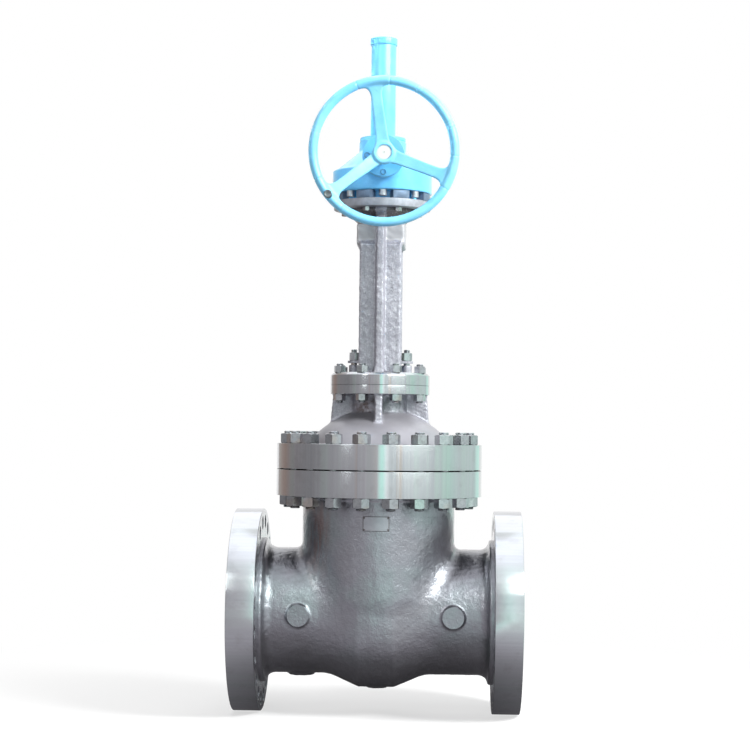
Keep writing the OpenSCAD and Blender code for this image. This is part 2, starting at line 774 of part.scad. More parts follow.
module yoke_studs() {
    low = bonnet_top_z - yoke_nut_h - yoke_stud_out;
    high = yoke_foot_top_z + yoke_nut_h + yoke_stud_out;
    color(steel) at_stem() translate([0, 0, low]) ring_of(yoke_studs_count, yoke_stud_circle_d)
        cylinder(h = high - low, d = yoke_stud_d);
}

module yoke_upper_nuts() {
    color(steel) at_stem() translate([0, 0, yoke_foot_top_z])
        ring_of(yoke_studs_count, yoke_stud_circle_d) nut(yoke_nut_af, yoke_nut_h, yoke_stud_d);
}

module yoke_lower_nuts() {
    color(steel) at_stem() translate([0, 0, bonnet_top_z - yoke_nut_h])
        ring_of(yoke_studs_count, yoke_stud_circle_d) nut(yoke_nut_af, yoke_nut_h, yoke_stud_d);
}

// Bronze sleeve that the gears turn to lift the stem
module yoke_sleeve() {
    low = yoke_head_z + sleeve_rise;
    color("goldenrod") at_stem() difference() {
        union() {
            translate([0, 0, low]) cylinder(h = housing_top_z - low, d = sleeve_d);
            translate([0, 0, low]) cylinder(h = sleeve_collar_h, d = sleeve_bore_d - 2 * fit_gap);
        }
        translate([0, 0, low - cut]) cylinder(h = housing_top_z, d = stem_d + 2 * thread_gap);
    }
}

module mounting_blocks() {
    color(steel) at_operator() translate([0, 0, block_z]) difference() {
        intersection() {
            difference() {
                cylinder(h = block_h, d = block_circle_d);
                translate([0, 0, -cut]) cylinder(h = block_h + 2 * cut, d = spigot_d);
            }
            ring_of(block_count, block_circle_d)
                translate([0, 0, block_h / 2]) cube([2 * block_w, block_w, block_h], center = true);
        }
        translate([0, 0, -cut]) ring_of(block_count, block_bolt_circle_d)
            cylinder(h = block_bolt_l - yoke_top_t + cut, d = block_bolt_d + 2 * thread_gap);
    }
}

module block_bolts() {
    color(steel) at_operator() translate([0, 0, yoke_top_z]) ring_of(block_count, block_bolt_circle_d) {
        translate([0, 0, -block_bolt_head_h])
            cylinder(h = block_bolt_head_h, d = block_bolt_af / cos(30), $fn = 6);
        cylinder(h = block_bolt_l - cut, d = block_bolt_d);
    }
}

module housing_screws() {
    color(steel) at_operator() translate([0, 0, drum_z]) rotate([0, 0, 180 / block_count])
        ring_of(block_count, housing_screw_circle_d) {
            translate([0, 0, -housing_screw_head_h])
                cylinder(h = housing_screw_head_h, d = housing_screw_head_d);
            cylinder(h = housing_screw_l - cut, d = housing_screw_d);
        }
}

module gear_housing() {
    color(blue) at_operator() difference() {
        union() {
            translate([0, 0, block_z]) cylinder(h = block_h + cut, d = spigot_d - 2 * fit_gap);
            rotate_extrude() polygon([
                [0, drum_z], [drum_d / 2 - edge_chamfer, drum_z],
                [drum_d / 2, drum_z + edge_chamfer], [drum_d / 2, shoulder_z],
                [drum_d / 2 - shoulder_in, shoulder_z + shoulder_rise], [bearing_d / 2, bearing_z],
                [bearing_d / 2, housing_top_z], [0, housing_top_z]
            ]);
        }
        translate([0, 0, block_z - cut])
            cylinder(h = housing_top_z - block_z + 2 * cut, d = sleeve_d + 2 * fit_gap);
        // Seat of the pinion housing
        translate([0, 0, shaft_z]) rotate([90, 0, 0]) translate([0, 0, pinion_back_y])
            cylinder(h = drum_d, d = pinion_housing_d + 2 * fit_gap);
        translate([0, 0, drum_z - cut]) rotate([0, 0, 180 / block_count])
            ring_of(block_count, housing_screw_circle_d)
                cylinder(h = housing_screw_l + cut, d = housing_screw_d + 2 * thread_gap);
    }
}

// Cover on top of the bearing housing that the stem cover stands on
module bearing_cover() {
    color(blue) at_operator() translate([0, 0, housing_top_z]) difference() {
        chamfered_disc(bearing_d - 2 * bearing_cover_in, bearing_cover_h, 0, edge_chamfer);
        translate([0, 0, -cut]) cylinder(h = bearing_cover_h + 2 * cut, d = stem_d + stem_room);
    }
}

// Places of the pinion cover's screws: above, below and on each side of the shaft
module at_cover_screws() {
    rotate([0, 0, 180 / cover_screw_count])
        ring_of(cover_screw_count, cover_screw_circle_d) children();
}

module pinion_housing() {
    back = pinion_back_y + fit_gap;
    front = pinion_front_y - pinion_cover_t;
    color(blue) along_shaft() difference() {
        translate([0, 0, back]) cylinder(h = front - back, d = pinion_housing_d);
        translate([0, 0, back + pinion_wall])
            cylinder(h = pinion_front_y, d = shaft_d + 2 * running_gap);
        at_cover_screws() translate([0, 0, front - cover_screw_l])
            cylinder(h = cover_screw_l + cut, d = cover_screw_d + 2 * thread_gap);
    }
}

module pinion_cover() {
    back = pinion_front_y - pinion_cover_t;
    color(blue) along_shaft() difference() {
        translate([0, 0, back]) chamfered_disc(pinion_cover_d, pinion_cover_t, 1, 2);
        translate([0, 0, back - cut])
            cylinder(h = pinion_cover_t + 2 * cut, d = shaft_d + 2 * running_gap);
        at_cover_screws() {
            translate([0, 0, back - cut])
                cylinder(h = pinion_cover_t + 2 * cut, d = cover_screw_d + 2 * thread_gap);
            translate([0, 0, cover_screw_seat_y])
                cylinder(h = cover_screw_head_h, d = cover_screw_head_d + 2 * thread_gap);
        }
    }
}

module pinion_cover_screws() {
    low = pinion_front_y - pinion_cover_t - cover_screw_l + cut;
    seat = cover_screw_seat_y;
    color(steel) along_shaft() at_cover_screws() difference() {
        union() {
            translate([0, 0, low]) cylinder(h = seat - low, d = cover_screw_d);
            translate([0, 0, seat]) cylinder(h = cover_screw_head_h, d = cover_screw_head_d);
        }
        translate([0, 0, seat + cover_screw_head_h - cover_screw_key_depth])
            cylinder(h = cover_screw_head_h, d = cover_screw_key / cos(30), $fn = 6);
    }
}

module stem_cover_tube() {
    color(blue) at_operator() translate([0, 0, cover_base_z]) difference() {
        cylinder(h = cover_h, d = cover_d);
        translate([0, 0, -cut]) cylinder(h = cover_h + 2 * cut, d = cover_d - 2 * cover_wall);
    }
}

module stem_cover_cap() {
    color(blue) at_operator() translate([0, 0, cover_top_z])
        chamfered_disc(cover_d + 2 * cap_lip, cover_cap_h, cap_lip / 2, cap_lip);
}

// Blank plate, curved to lie on the front of the neck
module name_plate() {
    low = name_plate_z - name_plate_h / 2;
    color("gainsboro") at_stem() difference() {
        intersection() {
            translate([0, 0, low]) cylinder(h = name_plate_h, r = neck_r + name_plate_t);
            translate([-name_plate_w / 2, -2 * neck_r, low - cut])
                cube([name_plate_w, 2 * neck_r, name_plate_h + 2 * cut]);
        }
        cylinder(h = 2 * name_plate_z, r = neck_r + fit_gap);
    }
}

module input_shaft() {
    back = pinion_back_y + fit_gap + pinion_wall + shaft_end_room;
    front = hub_front_y - shaft_in;
    color(steel) along_shaft() difference() {
        translate([0, 0, back]) cylinder(h = front - back, d = shaft_d);
        translate([0, 0, front - centre_hole_depth]) cylinder(h = hub_l, d = centre_hole_d);
    }
}

// A piece of the round rim, between two angles
module rim_piece(from, to) {
    rotate([0, 0, from]) translate([0, 0, wheel_y]) rotate_extrude(angle = to - from)
        translate([rim_r, 0]) circle(d = rim_t);
}

// One spoke, from the hub forward to the rim, along +X
module spoke() {
    rim_w = spoke_w - 2 * spoke_taper;
    hull() {
        translate([hub_d / 2 - spoke_in, -spoke_w / 2, hub_front_y - spoke_in / 3 - spoke_t])
            cube([spoke_root, spoke_w, spoke_t]);
        translate([rim_r - spoke_in, -rim_w / 2, wheel_y - spoke_t / 2])
            cube([spoke_root, rim_w, spoke_t]);
    }
}

// Web that spreads each spoke into its piece of rim, along +X
module spoke_flare() {
    web_t = spoke_t - 2;
    spread = rim_r * sin(tee_angle) - spoke_in;
    narrow = spoke_w / 2 - spoke_taper;
    translate([0, 0, wheel_y - web_t / 2]) linear_extrude(height = web_t) difference() {
        polygon([
            [rim_r - flare_l, -narrow], [rim_r - spoke_root, -spread], [rim_r, 0],
            [rim_r - spoke_root, spread], [rim_r - flare_l, narrow]
        ]);
        for (side = [-1, 1])
            translate([rim_r - flare_scoop_in, side * (narrow + flare_scoop_r)])
                circle(r = flare_scoop_r);
    }
}

module wheel_spider() {
    color(blue) along_shaft() difference() {
        union() {
            translate([0, 0, hub_back_y]) cylinder(h = hub_l, d = hub_d);
            for (i = [0 : 2]) rotate([0, 0, spoke_angle + i * 120]) {
                spoke();
                spoke_flare();
                rim_piece(-tee_angle, tee_angle);
            }
        }
        translate([0, 0, hub_back_y - cut]) cylinder(h = hub_l + 2 * cut, d = shaft_d + 2 * thread_gap);
        // Flat that the spinner socket stands on
        rotate([0, 0, spoke_angle + 120]) translate([rim_r, 0, spinner_seat_y])
            cylinder(h = rim_t, d = spinner_d + 2);
    }
}

module wheel_rim() {
    color(blue) along_shaft() for (i = [0 : 2])
        rotate([0, 0, spoke_angle + i * 120])
            rim_piece(tee_angle + rim_joint_angle, 120 - tee_angle - rim_joint_angle);
}

// Steel socket on the rim that a spinner handle screws into
module spinner_socket() {
    color(steel) along_shaft() rotate([0, 0, spoke_angle + 120])
        translate([rim_r, 0, spinner_seat_y]) difference() {
            cylinder(h = spinner_h, d = spinner_d);
            translate([0, 0, spinner_wall])
                cylinder(h = spinner_h, d = spinner_key / cos(30), $fn = 6);
        }
}

body_casting();
inlet_flange();
outlet_flange();
body_flange();
inlet_seat_ring();
outlet_seat_ring();
gate_wedge();
stem();
bonnet_gasket();
bonnet_flange();
bonnet_casting();
joint_studs();
joint_upper_nuts();
joint_lower_nuts();
packing_rings();
gland_follower();
gland_flange();
gland_studs();
gland_nuts();
yoke_casting();
yoke_studs();
yoke_upper_nuts();
yoke_lower_nuts();
yoke_sleeve();
mounting_blocks();
block_bolts();
housing_screws();
gear_housing();
bearing_cover();
pinion_housing();
pinion_cover();
pinion_cover_screws();
stem_cover_tube();
stem_cover_cap();
name_plate();
input_shaft();
wheel_spider();
wheel_rim();
spinner_socket();
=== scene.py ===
import math

import bmesh
import bpy
import numpy as np
from mathutils import Matrix, Vector


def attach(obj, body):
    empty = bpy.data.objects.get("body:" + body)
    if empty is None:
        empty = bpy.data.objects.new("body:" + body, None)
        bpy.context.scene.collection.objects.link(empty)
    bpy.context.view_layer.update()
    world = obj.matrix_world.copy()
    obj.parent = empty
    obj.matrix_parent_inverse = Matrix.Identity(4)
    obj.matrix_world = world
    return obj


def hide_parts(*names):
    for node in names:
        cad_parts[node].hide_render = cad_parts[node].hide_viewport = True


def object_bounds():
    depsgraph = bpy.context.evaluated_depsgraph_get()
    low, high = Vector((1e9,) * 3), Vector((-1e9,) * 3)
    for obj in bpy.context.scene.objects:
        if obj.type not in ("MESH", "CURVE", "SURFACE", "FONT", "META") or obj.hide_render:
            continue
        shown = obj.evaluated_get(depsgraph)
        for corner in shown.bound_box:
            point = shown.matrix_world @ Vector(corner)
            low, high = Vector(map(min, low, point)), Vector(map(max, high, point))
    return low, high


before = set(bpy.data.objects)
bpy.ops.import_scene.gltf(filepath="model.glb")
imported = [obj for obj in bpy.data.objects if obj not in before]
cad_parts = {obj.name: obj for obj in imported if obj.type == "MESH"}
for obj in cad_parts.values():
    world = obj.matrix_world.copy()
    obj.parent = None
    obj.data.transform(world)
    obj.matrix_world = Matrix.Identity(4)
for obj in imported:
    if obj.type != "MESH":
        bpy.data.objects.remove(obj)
cad_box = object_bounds()

MM = 0.001
TURN = math.tau

# ---------------------------------------------------------------- sizes, in millimetres
# R is a radius, H a height, T a thickness and AF a nut's width across its flats. The stem's axis stands halfway
# between the two raised faces, and heights count from the pipe's axis.
STEM_X = 559
OPERATOR_TURN = math.radians(2.6)

BORE_R = 203
BARREL_R = 243
HUB_R, HUB_X = 280, 429.5
PIPE_FLANGE_R, PIPE_FLANGE_X, PIPE_FLANGE_T, RAISED_R, RAISED_H = 392.5, 446.5, 106, 266.5, 6.5
PIPE_BOLTS, PIPE_BOLT_CIRCLE_R, PIPE_BOLT_HOLE_R = 20, 343, 25.5

NECK_R = 295
BELLY_R, BELLY_SHOULDER_R, BELLY_SHOULDER_X, BELLY_SLOPE = 291, 281.5, 90, 0.43
SIDE_BOSS_X, SIDE_BOSS_R, SIDE_BOSS_OUT = 293, 43, 257
UNDER_BOSS_R, UNDER_BOSS_H = 50, 9
DRAIN_BOSS_R, DRAIN_BOSS_H = 39, 7
CHAMBER_R, CHAMBER_X, WELL_R = 236, 118, 118
JOINT_R, JOINT_LOW, JOINT_SEAM, BONNET_LOW, BONNET_FLANGE_TOP = 398.5, 449, 549, 553.5, 649.5
BODY_HOLE_R, BONNET_HOLE_R, STEM_HOLE_R = 255, 200, 60
JOINT_STUDS, JOINT_STUD_CIRCLE_R, JOINT_STUD_R = 20, 353, 19
JOINT_NUT_AF, JOINT_NUT_H, JOINT_STUD_OUT = 60, 38, 9

DOME_R, DOME_Z = 356, 429.5
STUFFING_R = 105
BONNET_RIB_HALF_T, BONNET_RIB_OUT, BONNET_RIB_SPLAY, BONNET_RIB_H = 14, 182, 11, 137
YOKE_R, BONNET_TOP, YOKE_LOW, YOKE_FOOT_TOP = 193, 841, 876, 924
YOKE_STUDS, YOKE_STUD_CIRCLE_R, YOKE_STUD_R = 8, 167, 13.5
YOKE_NUT_AF, YOKE_NUT_H, YOKE_STUD_OUT = 41, 26, 8
STEM_R, STEM_LOW, STEM_THREAD_LOW, STEM_TOP = 35, 219.3, 985, 1754
GLAND_X, GLAND_TOP, GLAND_T, GLAND_WELL_R, GLAND_EAR_R, GLAND_BORE_R = 102.5, 973, 11, 75, 24.5, 37
GLAND_STUD_R, GLAND_STUD_LOW, GLAND_NUT_AF, GLAND_NUT_H, GLAND_STUD_OUT = 12, 845, 36, 31, 12

ARM_HALF_W, ARM_IN, ARM_OUT, ARM_TOP = 80.5, 95, 123, 1433
RIB_HALF_T, RIB_OUT, RIB_TOP = 16.5, 171, 1536
HEAD_HALF_W, HEAD_Y, HEAD_LOW, HEAD_TOP = 93, 111, 1411, 1497
FLARE_LOW, FLARE_H, FLARE_R = 1506, 38, 138
YOKE_TOP_LOW, YOKE_TOP_R, YOKE_TOP = 1557, 187.5, 1587
SOLE_R, LUG_R, LUG_H = 150, 20, 32
NIPPLE_X, NIPPLE_Z, NIPPLE_R, NIPPLE_OUT = -34, 1500, 11, 134
SLEEVE_BORE_R = 65

BLOCKS, BLOCK_H, BLOCK_W, BLOCK_OUT, BLOCK_IN, BLOCK_BOLT_CIRCLE_R = 8, 31, 66, 187, 145, 156
BLOCK_BOLT_AF, BLOCK_BOLT_H, BLOCK_BOLT_R = 24, 17, 9
HOUSING_SCREW_CIRCLE_R = 173
DRUM_R, DRUM_LOW, SHOULDER, BEARING_LOW, BEARING_R, HOUSING_TOP = 193, 1618, 1704, 1779, 91, 1824
CONE_LOW_R, CONE_LOW_H = 172, 12
SPIGOT_R = 157
SHAFT_Z, SHAFT_R, SHAFT_BACK = 1735, 27.5, 96
PINION_R, PINION_COVER_R, PINION_COVER_T, PINION_FRONT, COLLAR_T = 68, 80, 20, 262, 16
COVER_SCREW_CIRCLE_R = 62
BEARING_LID_R = 89
COVER_LOW, COVER_TOP, CAP_TOP, COVER_R, CAP_R = 1838, 2200, 2227, 48.5, 52.5

RIM_R, RIM_HALF_T, WHEEL_OUT = 263, 17, 372
HUB_WHEEL_R, HUB_FRONT, HUB_BACK, DISH_OUT = 40, 344, 292, 328
SPOKE_HALF_W, SPOKE_HALF_T = 23, 8
SPOKES = [math.radians(98.5 + 120 * i) for i in range(3)]
SEAT_R, SEAT_OUT, SEAT_ANGLE = 16, 382, SPOKES[1]
# round the rim, in degrees: pressed finger grips, and the welds between its tubes and its cast pieces
GRIPS, SEAMS = (163, 61, 22), (113.5, 86, -3.7, -31.2, -126.5, -156.5)

AT_STEM = Matrix.Translation((STEM_X, 0, 0))
AT_OPERATOR = AT_STEM @ Matrix.Rotation(OPERATOR_TURN, 4, "Z")
ALONG_PIPE = AT_STEM @ Matrix.Rotation(math.pi / 2, 4, "Y")
# X to the right, Y up and Z out along the shaft, towards whoever turns the wheel
ALONG_SHAFT = AT_OPERATOR @ Matrix.Translation((0, 0, SHAFT_Z)) @ Matrix.Rotation(math.pi / 2, 4, "X")

# edges sharper than this, in degrees, stay crisp: on cast skins, on turned rings and on everything else
CAST_EDGE, TURNED_EDGE, EDGE = 60, 32, 35


# ---------------------------------------------------------------- materials
def linear(hex_colour):
    """An sRGB hex colour as linear RGBA."""
    parts = [int(hex_colour[i:i + 2], 16) / 255 for i in (1, 3, 5)]
    return [c / 12.92 if c <= 0.04045 else ((c + 0.055) / 1.055) ** 2.4 for c in parts] + [1.0]


def add(tree, kind, sockets=None, stops=(), **settings):
    """A node with its settings, and the stops of its colour ramp, each a place with a hex colour or a level of grey.
    Its sockets are set to values, or linked to sockets, or to the first output in use of other nodes."""
    node = tree.nodes.new(kind)
    for key, value in settings.items():
        setattr(node, key, value)
    for key, value in (sockets or {}).items():
        if isinstance(value, bpy.types.Node):
            value = next(output for output in value.outputs if output.enabled)
        if isinstance(value, bpy.types.NodeSocket):
            tree.links.new(value, node.inputs[key])
        else:
            node.inputs[key].default_value = value
    if stops:
        line = node.color_ramp
        while len(line.elements) < len(stops):
            line.elements.new(0.5)
        for element, (place, colour) in zip(line.elements, stops):
            element.position = place
            element.color = linear(colour) if isinstance(colour, str) else [colour] * 3 + [1.0]
    return node


def new_material(name):
    """An empty material, its tree, and the object's coordinates in metres."""
    material = bpy.data.materials.new(name)
    material.use_nodes = True
    tree = material.node_tree
    tree.nodes.clear()
    return material, tree, add(tree, "ShaderNodeTexCoord").outputs["Object"]


def covered(material, sockets):
    """The material, ended in a Principled shader whose sockets are set or linked."""
    tree = material.node_tree
    shader = add(tree, "ShaderNodeBsdfPrincipled", sockets)
    add(tree, "ShaderNodeOutputMaterial", {"Surface": shader})
    return material


def grain(tree, where, size_mm, detail=3.0, rough=0.55, stretch=(1, 1, 1)):
    """Noise whose lumps are size_mm across."""
    placed = add(tree, "ShaderNodeMapping", {"Vector": where, "Scale": stretch})
    return add(tree, "ShaderNodeTexNoise", {
        "Vector": placed, "Scale": 1 / (size_mm * MM), "Detail": detail, "Roughness": rough,
    })


def laid_over(tree, base, colour, amount, stops=()):
    """A base colour with another laid over it, as far as an amount from 0 to 1 says, or a pattern read by stops."""
    if stops:
        amount = add(tree, "ShaderNodeValToRGB", {"Fac": amount}, stops)
    # 6 and 7 are the two colours of a mix
    return add(tree, "ShaderNodeMix", {0: amount, 6: base, 7: linear(colour)}, data_type="RGBA")


def bumps(tree, heights):
    """Bump from (height, depth in mm, strength) layers, one over another."""
    normal = None
    for height, depth_mm, strength in heights:
        sockets = {"Height": height, "Distance": depth_mm * MM, "Strength": strength}
        if normal is not None:
            sockets["Normal"] = normal
        normal = add(tree, "ShaderNodeBump", sockets)
    return normal


def stained(tree, where, base, colour, spot_mm, reach_mm, squeeze, strength=1.0, run=(1, 1, 1)):
    """A colour with a stain round one spot, ragged at its edge, or run down in drips where run is drawn out."""
    aside = add(tree, "ShaderNodeVectorMath", {0: where, 1: [c * MM for c in spot_mm]}, operation="SUBTRACT")
    aside = add(tree, "ShaderNodeVectorMath", {0: aside, 1: squeeze}, operation="MULTIPLY")
    away = add(tree, "ShaderNodeVectorMath", {0: aside}, operation="LENGTH")
    near = add(tree, "ShaderNodeMapRange", {
        "Value": away, "From Min": 0.0, "From Max": reach_mm * MM, "To Min": 1.0, "To Max": 0.0,
    })
    ragged = add(tree, "ShaderNodeValToRGB", {"Fac": grain(tree, where, 22, 4.0, 0.65, run)}, [
        (0.4, 0.0), (0.62, strength)])
    amount = add(tree, "ShaderNodeMath", {0: near, 1: ragged}, operation="MULTIPLY")
    return laid_over(tree, base, colour, amount)


def facing(tree, first, full, most):
    """How far a face looks up, or down: nothing at the first slope and the most at the full one, where 1 is straight
    up and -1 straight down."""
    normal = add(tree, "ShaderNodeTexCoord").outputs["Normal"]
    slope = add(tree, "ShaderNodeSeparateXYZ", {"Vector": normal}).outputs["Z"]
    return add(tree, "ShaderNodeMapRange", {
        "Value": slope, "From Min": first, "From Max": full, "To Min": 0.0, "To Max": most,
    }, interpolation_type="SMOOTHSTEP")


def coated_cast_steel():
    """Sand cast steel under a glossy dark grey metallic coat. The coat fills the fine grit and leaves the sand's
    lumps, so the highlights break into patches."""
    material, tree, where = new_material("coated_cast_steel")
    base = add(tree, "ShaderNodeValToRGB", {"Fac": grain(tree, where, 210)}, [
        (0.34, "#9A979E"), (0.5, "#9F9EA6"), (0.66, "#9AA1A5")])
    speck = grain(tree, where, 7, 4.0)
    base = laid_over(tree, base, "#88878D", speck, [(0.56, 0.0), (0.72, 0.4)])
    base = laid_over(tree, base, "#ADAFB3", speck, [(0.3, 0.3), (0.42, 0.0)])
    # rust has run down from the joint
    base = stained(tree, where, base, "#A08078", (STEM_X - 225, -190, 300), 150, (2.2, 1, 0.7), run=(1, 1, 0.16))
    # painted shade darkens whatever faces up, and painted light makes the underside pale
    base = laid_over(tree, base, "#454349", facing(tree, 0.28, 0.85, 0.75))
    base = laid_over(tree, base, "#CBC9D0", facing(tree, -0.1, -0.75, 0.95))
    rough = add(tree, "ShaderNodeValToRGB", {"Fac": grain(tree, where, 50, 4.0)}, [(0.35, 0.3), (0.7, 0.38)])
    # sand lumps of 6 and 13 mm, drawn coarser than the real 3 to 8 mm grit so that they show, on ripples of 34 mm
    normal = bumps(tree, [
        (grain(tree, where, 34, 2.0), 0.4, 0.5), (grain(tree, where, 13, 3.0, 0.6), 1.9, 0.8),
        (grain(tree, where, 6, 3.0, 0.6), 1.1, 0.8),
    ])
    return covered(material, {
        "Base Color": base, "Metallic": 0.92, "Roughness": rough, "Normal": normal,
        "Coat Weight": 1.0, "Coat Roughness": 0.05, "Coat Normal": normal,
    })


def rough_silver_casting(name, light, dark):
    """Rough cast steel under thin silver grey paint: lumpy, pitted, and flecked paler at random."""
    material, tree, where = new_material(name)
    base = add(tree, "ShaderNodeValToRGB", {"Fac": grain(tree, where, 90)}, [(0.32, dark), (0.66, light)])
    speck = grain(tree, where, 6, 4.0, 0.65)
    streak = grain(tree, where, 12, stretch=(1, 1, 0.1))
    base = laid_over(tree, base, "#807F89", speck, [(0.3, 0.75), (0.47, 0.0)])
    base = laid_over(tree, base, "#E2E4E6", speck, [(0.56, 0.0), (0.7, 0.7)])
    base = laid_over(tree, base, "#8E9095", streak, [(0.5, 0.0), (0.75, 0.5)])
    # rust and verdigris under the bonnet's top flange, laid dark as painted shade in the recesses there
    base = stained(tree, where, base, "#5E4A42", (STEM_X - 62, -100, 790), 120, (1, 1, 0.8))
    base = stained(tree, where, base, "#6C7B78", (STEM_X + 66, -100, 800), 100, (1, 1, 0.8), 0.8)
    rough = add(tree, "ShaderNodeValToRGB", {"Fac": speck}, [(0.35, 0.28), (0.7, 0.5)])
    # sand marks of 5 mm and ripples of 24 mm, drawn a little coarser than the real ones so that they show
    normal = bumps(tree, [
        (grain(tree, where, 24, 2.0), 0.8, 0.6), (grain(tree, where, 5, 4.0, 0.65, (1, 1, 0.5)), 1.2, 0.9),
    ])
    return covered(material, {"Base Color": base, "Metallic": 0.5, "Roughness": rough, "Normal": normal})


def smooth_silver_paint(name, dark, light, metallic):
    """A ground and painted skin: silver grey with only a faint ripple."""
    material, tree, where = new_material(name)
    base = add(tree, "ShaderNodeValToRGB", {"Fac": grain(tree, where, 120)}, [(0.35, dark), (0.68, light)])
    normal = bumps(tree, [(grain(tree, where, 30, 2.0), 1.2, 0.4), (grain(tree, where, 9), 0.4, 0.5)])
    return covered(material, {"Base Color": base, "Metallic": metallic, "Roughness": 0.36, "Normal": normal})


def turned_steel(name, axis, tints):
    """Steel turned in a lathe and left bare under a film of oil. The tool's rings smear each reflection along the
    axis, and faint brown and green bands of painted reflection run across them."""
    material, tree, where = new_material(name)
    centred = {"Rotation": (0, -math.pi / 2, 0)} if axis == "X" else {"Location": (-STEM_X * MM, 0, 0)}
    placed = add(tree, "ShaderNodeMapping", {"Vector": where, **centred})
    split = add(tree, "ShaderNodeSeparateXYZ", {"Vector": placed}).outputs
    flat = add(tree, "ShaderNodeCombineXYZ", {"X": split["X"], "Y": split["Y"]})
    radius = add(tree, "ShaderNodeVectorMath", {0: flat}, operation="LENGTH")
    unit = add(tree, "ShaderNodeVectorMath", {0: flat}, operation="NORMALIZE")
    # bands of painted reflection that run along the axis: noise over the direction alone, 3 and 30 lumps to the radius
    band, fine = (
        add(tree, "ShaderNodeTexNoise", {"Vector": unit, "Scale": scale, "Detail": detail, "Roughness": 0.6})
        for scale, detail in ((3.2, 4.0), (30.0, 3.0))
    )
    base = add(tree, "ShaderNodeValToRGB", {"Fac": band}, tints)
    base = laid_over(tree, base, "#E2E4E6", fine, [(0.4, 0.0), (0.8, 0.3)])
    base = laid_over(tree, base, "#A5A2A0", grain(tree, where, 60, 5.0, 0.65), [(0.52, 0.0), (0.75, 0.3)])
    # tool rings of 2.4 mm, both along the side and across the faces, drawn wider than the real 0.3 mm feed
    along = add(tree, "ShaderNodeMath", {0: radius, 1: split["Z"]}, operation="ADD")
    rings = add(tree, "ShaderNodeTexNoise", {
        "W": along, "Scale": 1 / (2.4 * MM), "Detail": 3.0, "Roughness": 0.7,
    }, noise_dimensions="1D")
    rough = add(tree, "ShaderNodeValToRGB", {"Fac": rings}, [(0.3, 0.16), (0.7, 0.2)])
    tangent = add(tree, "ShaderNodeTangent", direction_type="RADIAL", axis=axis)
    return covered(material, {
        "Base Color": base, "Metallic": 1.0, "Roughness": rough, "Anisotropic": 0.85, "Anisotropic Rotation": 0.25,
        "Tangent": tangent, "Normal": bumps(tree, [(rings, 0.05, 0.12), (grain(tree, where, 90, 2.0), 0.4, 0.2)]),
    })


def dull_nut_steel():
    """Heat treated nuts and studs, wiped with oil: flat grey faces with a faint green or brown cast from one to
    the next, a painted reflection of coloured surroundings."""
    material, tree, where = new_material("dull_nut_steel")
    base = add(tree, "ShaderNodeValToRGB", {"Fac": grain(tree, where, 110, 1.0)}, [
        (0.34, "#B9AFA9"), (0.45, "#B6B7BB"), (0.57, "#BFC1C3"), (0.68, "#BDC4C2")])
    base = laid_over(tree, base, "#8E9094", grain(tree, where, 12), [(0.35, 0.35), (0.55, 0.0)])
    normal = bumps(tree, [(grain(tree, where, 5, 2.0), 0.2, 0.5)])
    return covered(material, {"Base Color": base, "Metallic": 1.0, "Roughness": 0.22, "Normal": normal})


def sky_blue_enamel(name, deep, light):
    """Sprayed sky blue enamel on cast iron: bright, glossy, with the faint orange peel of the spray."""
    material, tree, where = new_material(name)
    base = add(tree, "ShaderNodeValToRGB", {"Fac": grain(tree, where, 90)}, [(0.35, deep), (0.65, light)])
    base = laid_over(tree, base, "#5AB4EC", grain(tree, where, 26, 5.0, 0.7), [(0.62, 0.0), (0.8, 0.4)])
    normal = bumps(tree, [(grain(tree, where, 24, 2.0), 0.9, 0.4), (grain(tree, where, 6, 2.0), 0.25, 0.5)])
    return covered(material, {
        "Base Color": base, "Roughness": 0.36, "IOR": 1.5, "Normal": normal,
        "Coat Weight": 0.8, "Coat Roughness": 0.12, "Coat Normal": normal,
    })


def plain_metal(name, colour, dark, roughness, metallic=1.0):
    """Bare machined metal: an even colour with the stains and fine scratches of handling."""
    material, tree, where = new_material(name)
    base = laid_over(tree, linear(colour), dark, grain(tree, where, 18, 4.0), [(0.42, 0.5), (0.62, 0.0)])
    scratch = grain(tree, where, 4, stretch=(1, 1, 0.25))
    return covered(material, {
        "Base Color": base, "Metallic": metallic, "Roughness": roughness,
        "Normal": bumps(tree, [(scratch, 0.08, 0.5)]),
    })


# what each finish gives the eye, where one function makes several
CAST = coated_cast_steel()
# light grey and lumpy, and the same in dark brown grey as painted shade, under the yoke's top flange and round the
# name plate
SILVER_CAST = rough_silver_casting("rough_silver_casting", "#BCBBC4", "#A6A5AF")
SHADE_SKIN = rough_silver_casting("shade_dark_casting_skin", "#7A7270", "#5E595B")
# the bonnet's mid grey dome and the yoke's paler head
SILVER = smooth_silver_paint("smooth_silver_paint", "#8E8D93", "#9A999F", 0.35)
HEAD_SILVER = smooth_silver_paint("pale_silver_paint", "#B2B1B5", "#C2C1C4", 0.4)
# the joint's flanges stand round the stem and show brown and green painted reflection, and the pipe's lie along it,
# with fainter tints
JOINT_STEEL = turned_steel("turned_joint_steel", "Z", [
    (0.32, "#C6B6AC"), (0.40, "#C2C2C6"), (0.52, "#C9CACD"), (0.62, "#C8D2CE"), (0.72, "#C4C5C9")])
PIPE_STEEL = turned_steel("turned_pipe_flange_steel", "X", [(0.35, "#C9CACF"), (0.5, "#CFD0D4"), (0.65, "#CBD0D1")])
NUT_STEEL = dull_nut_steel()
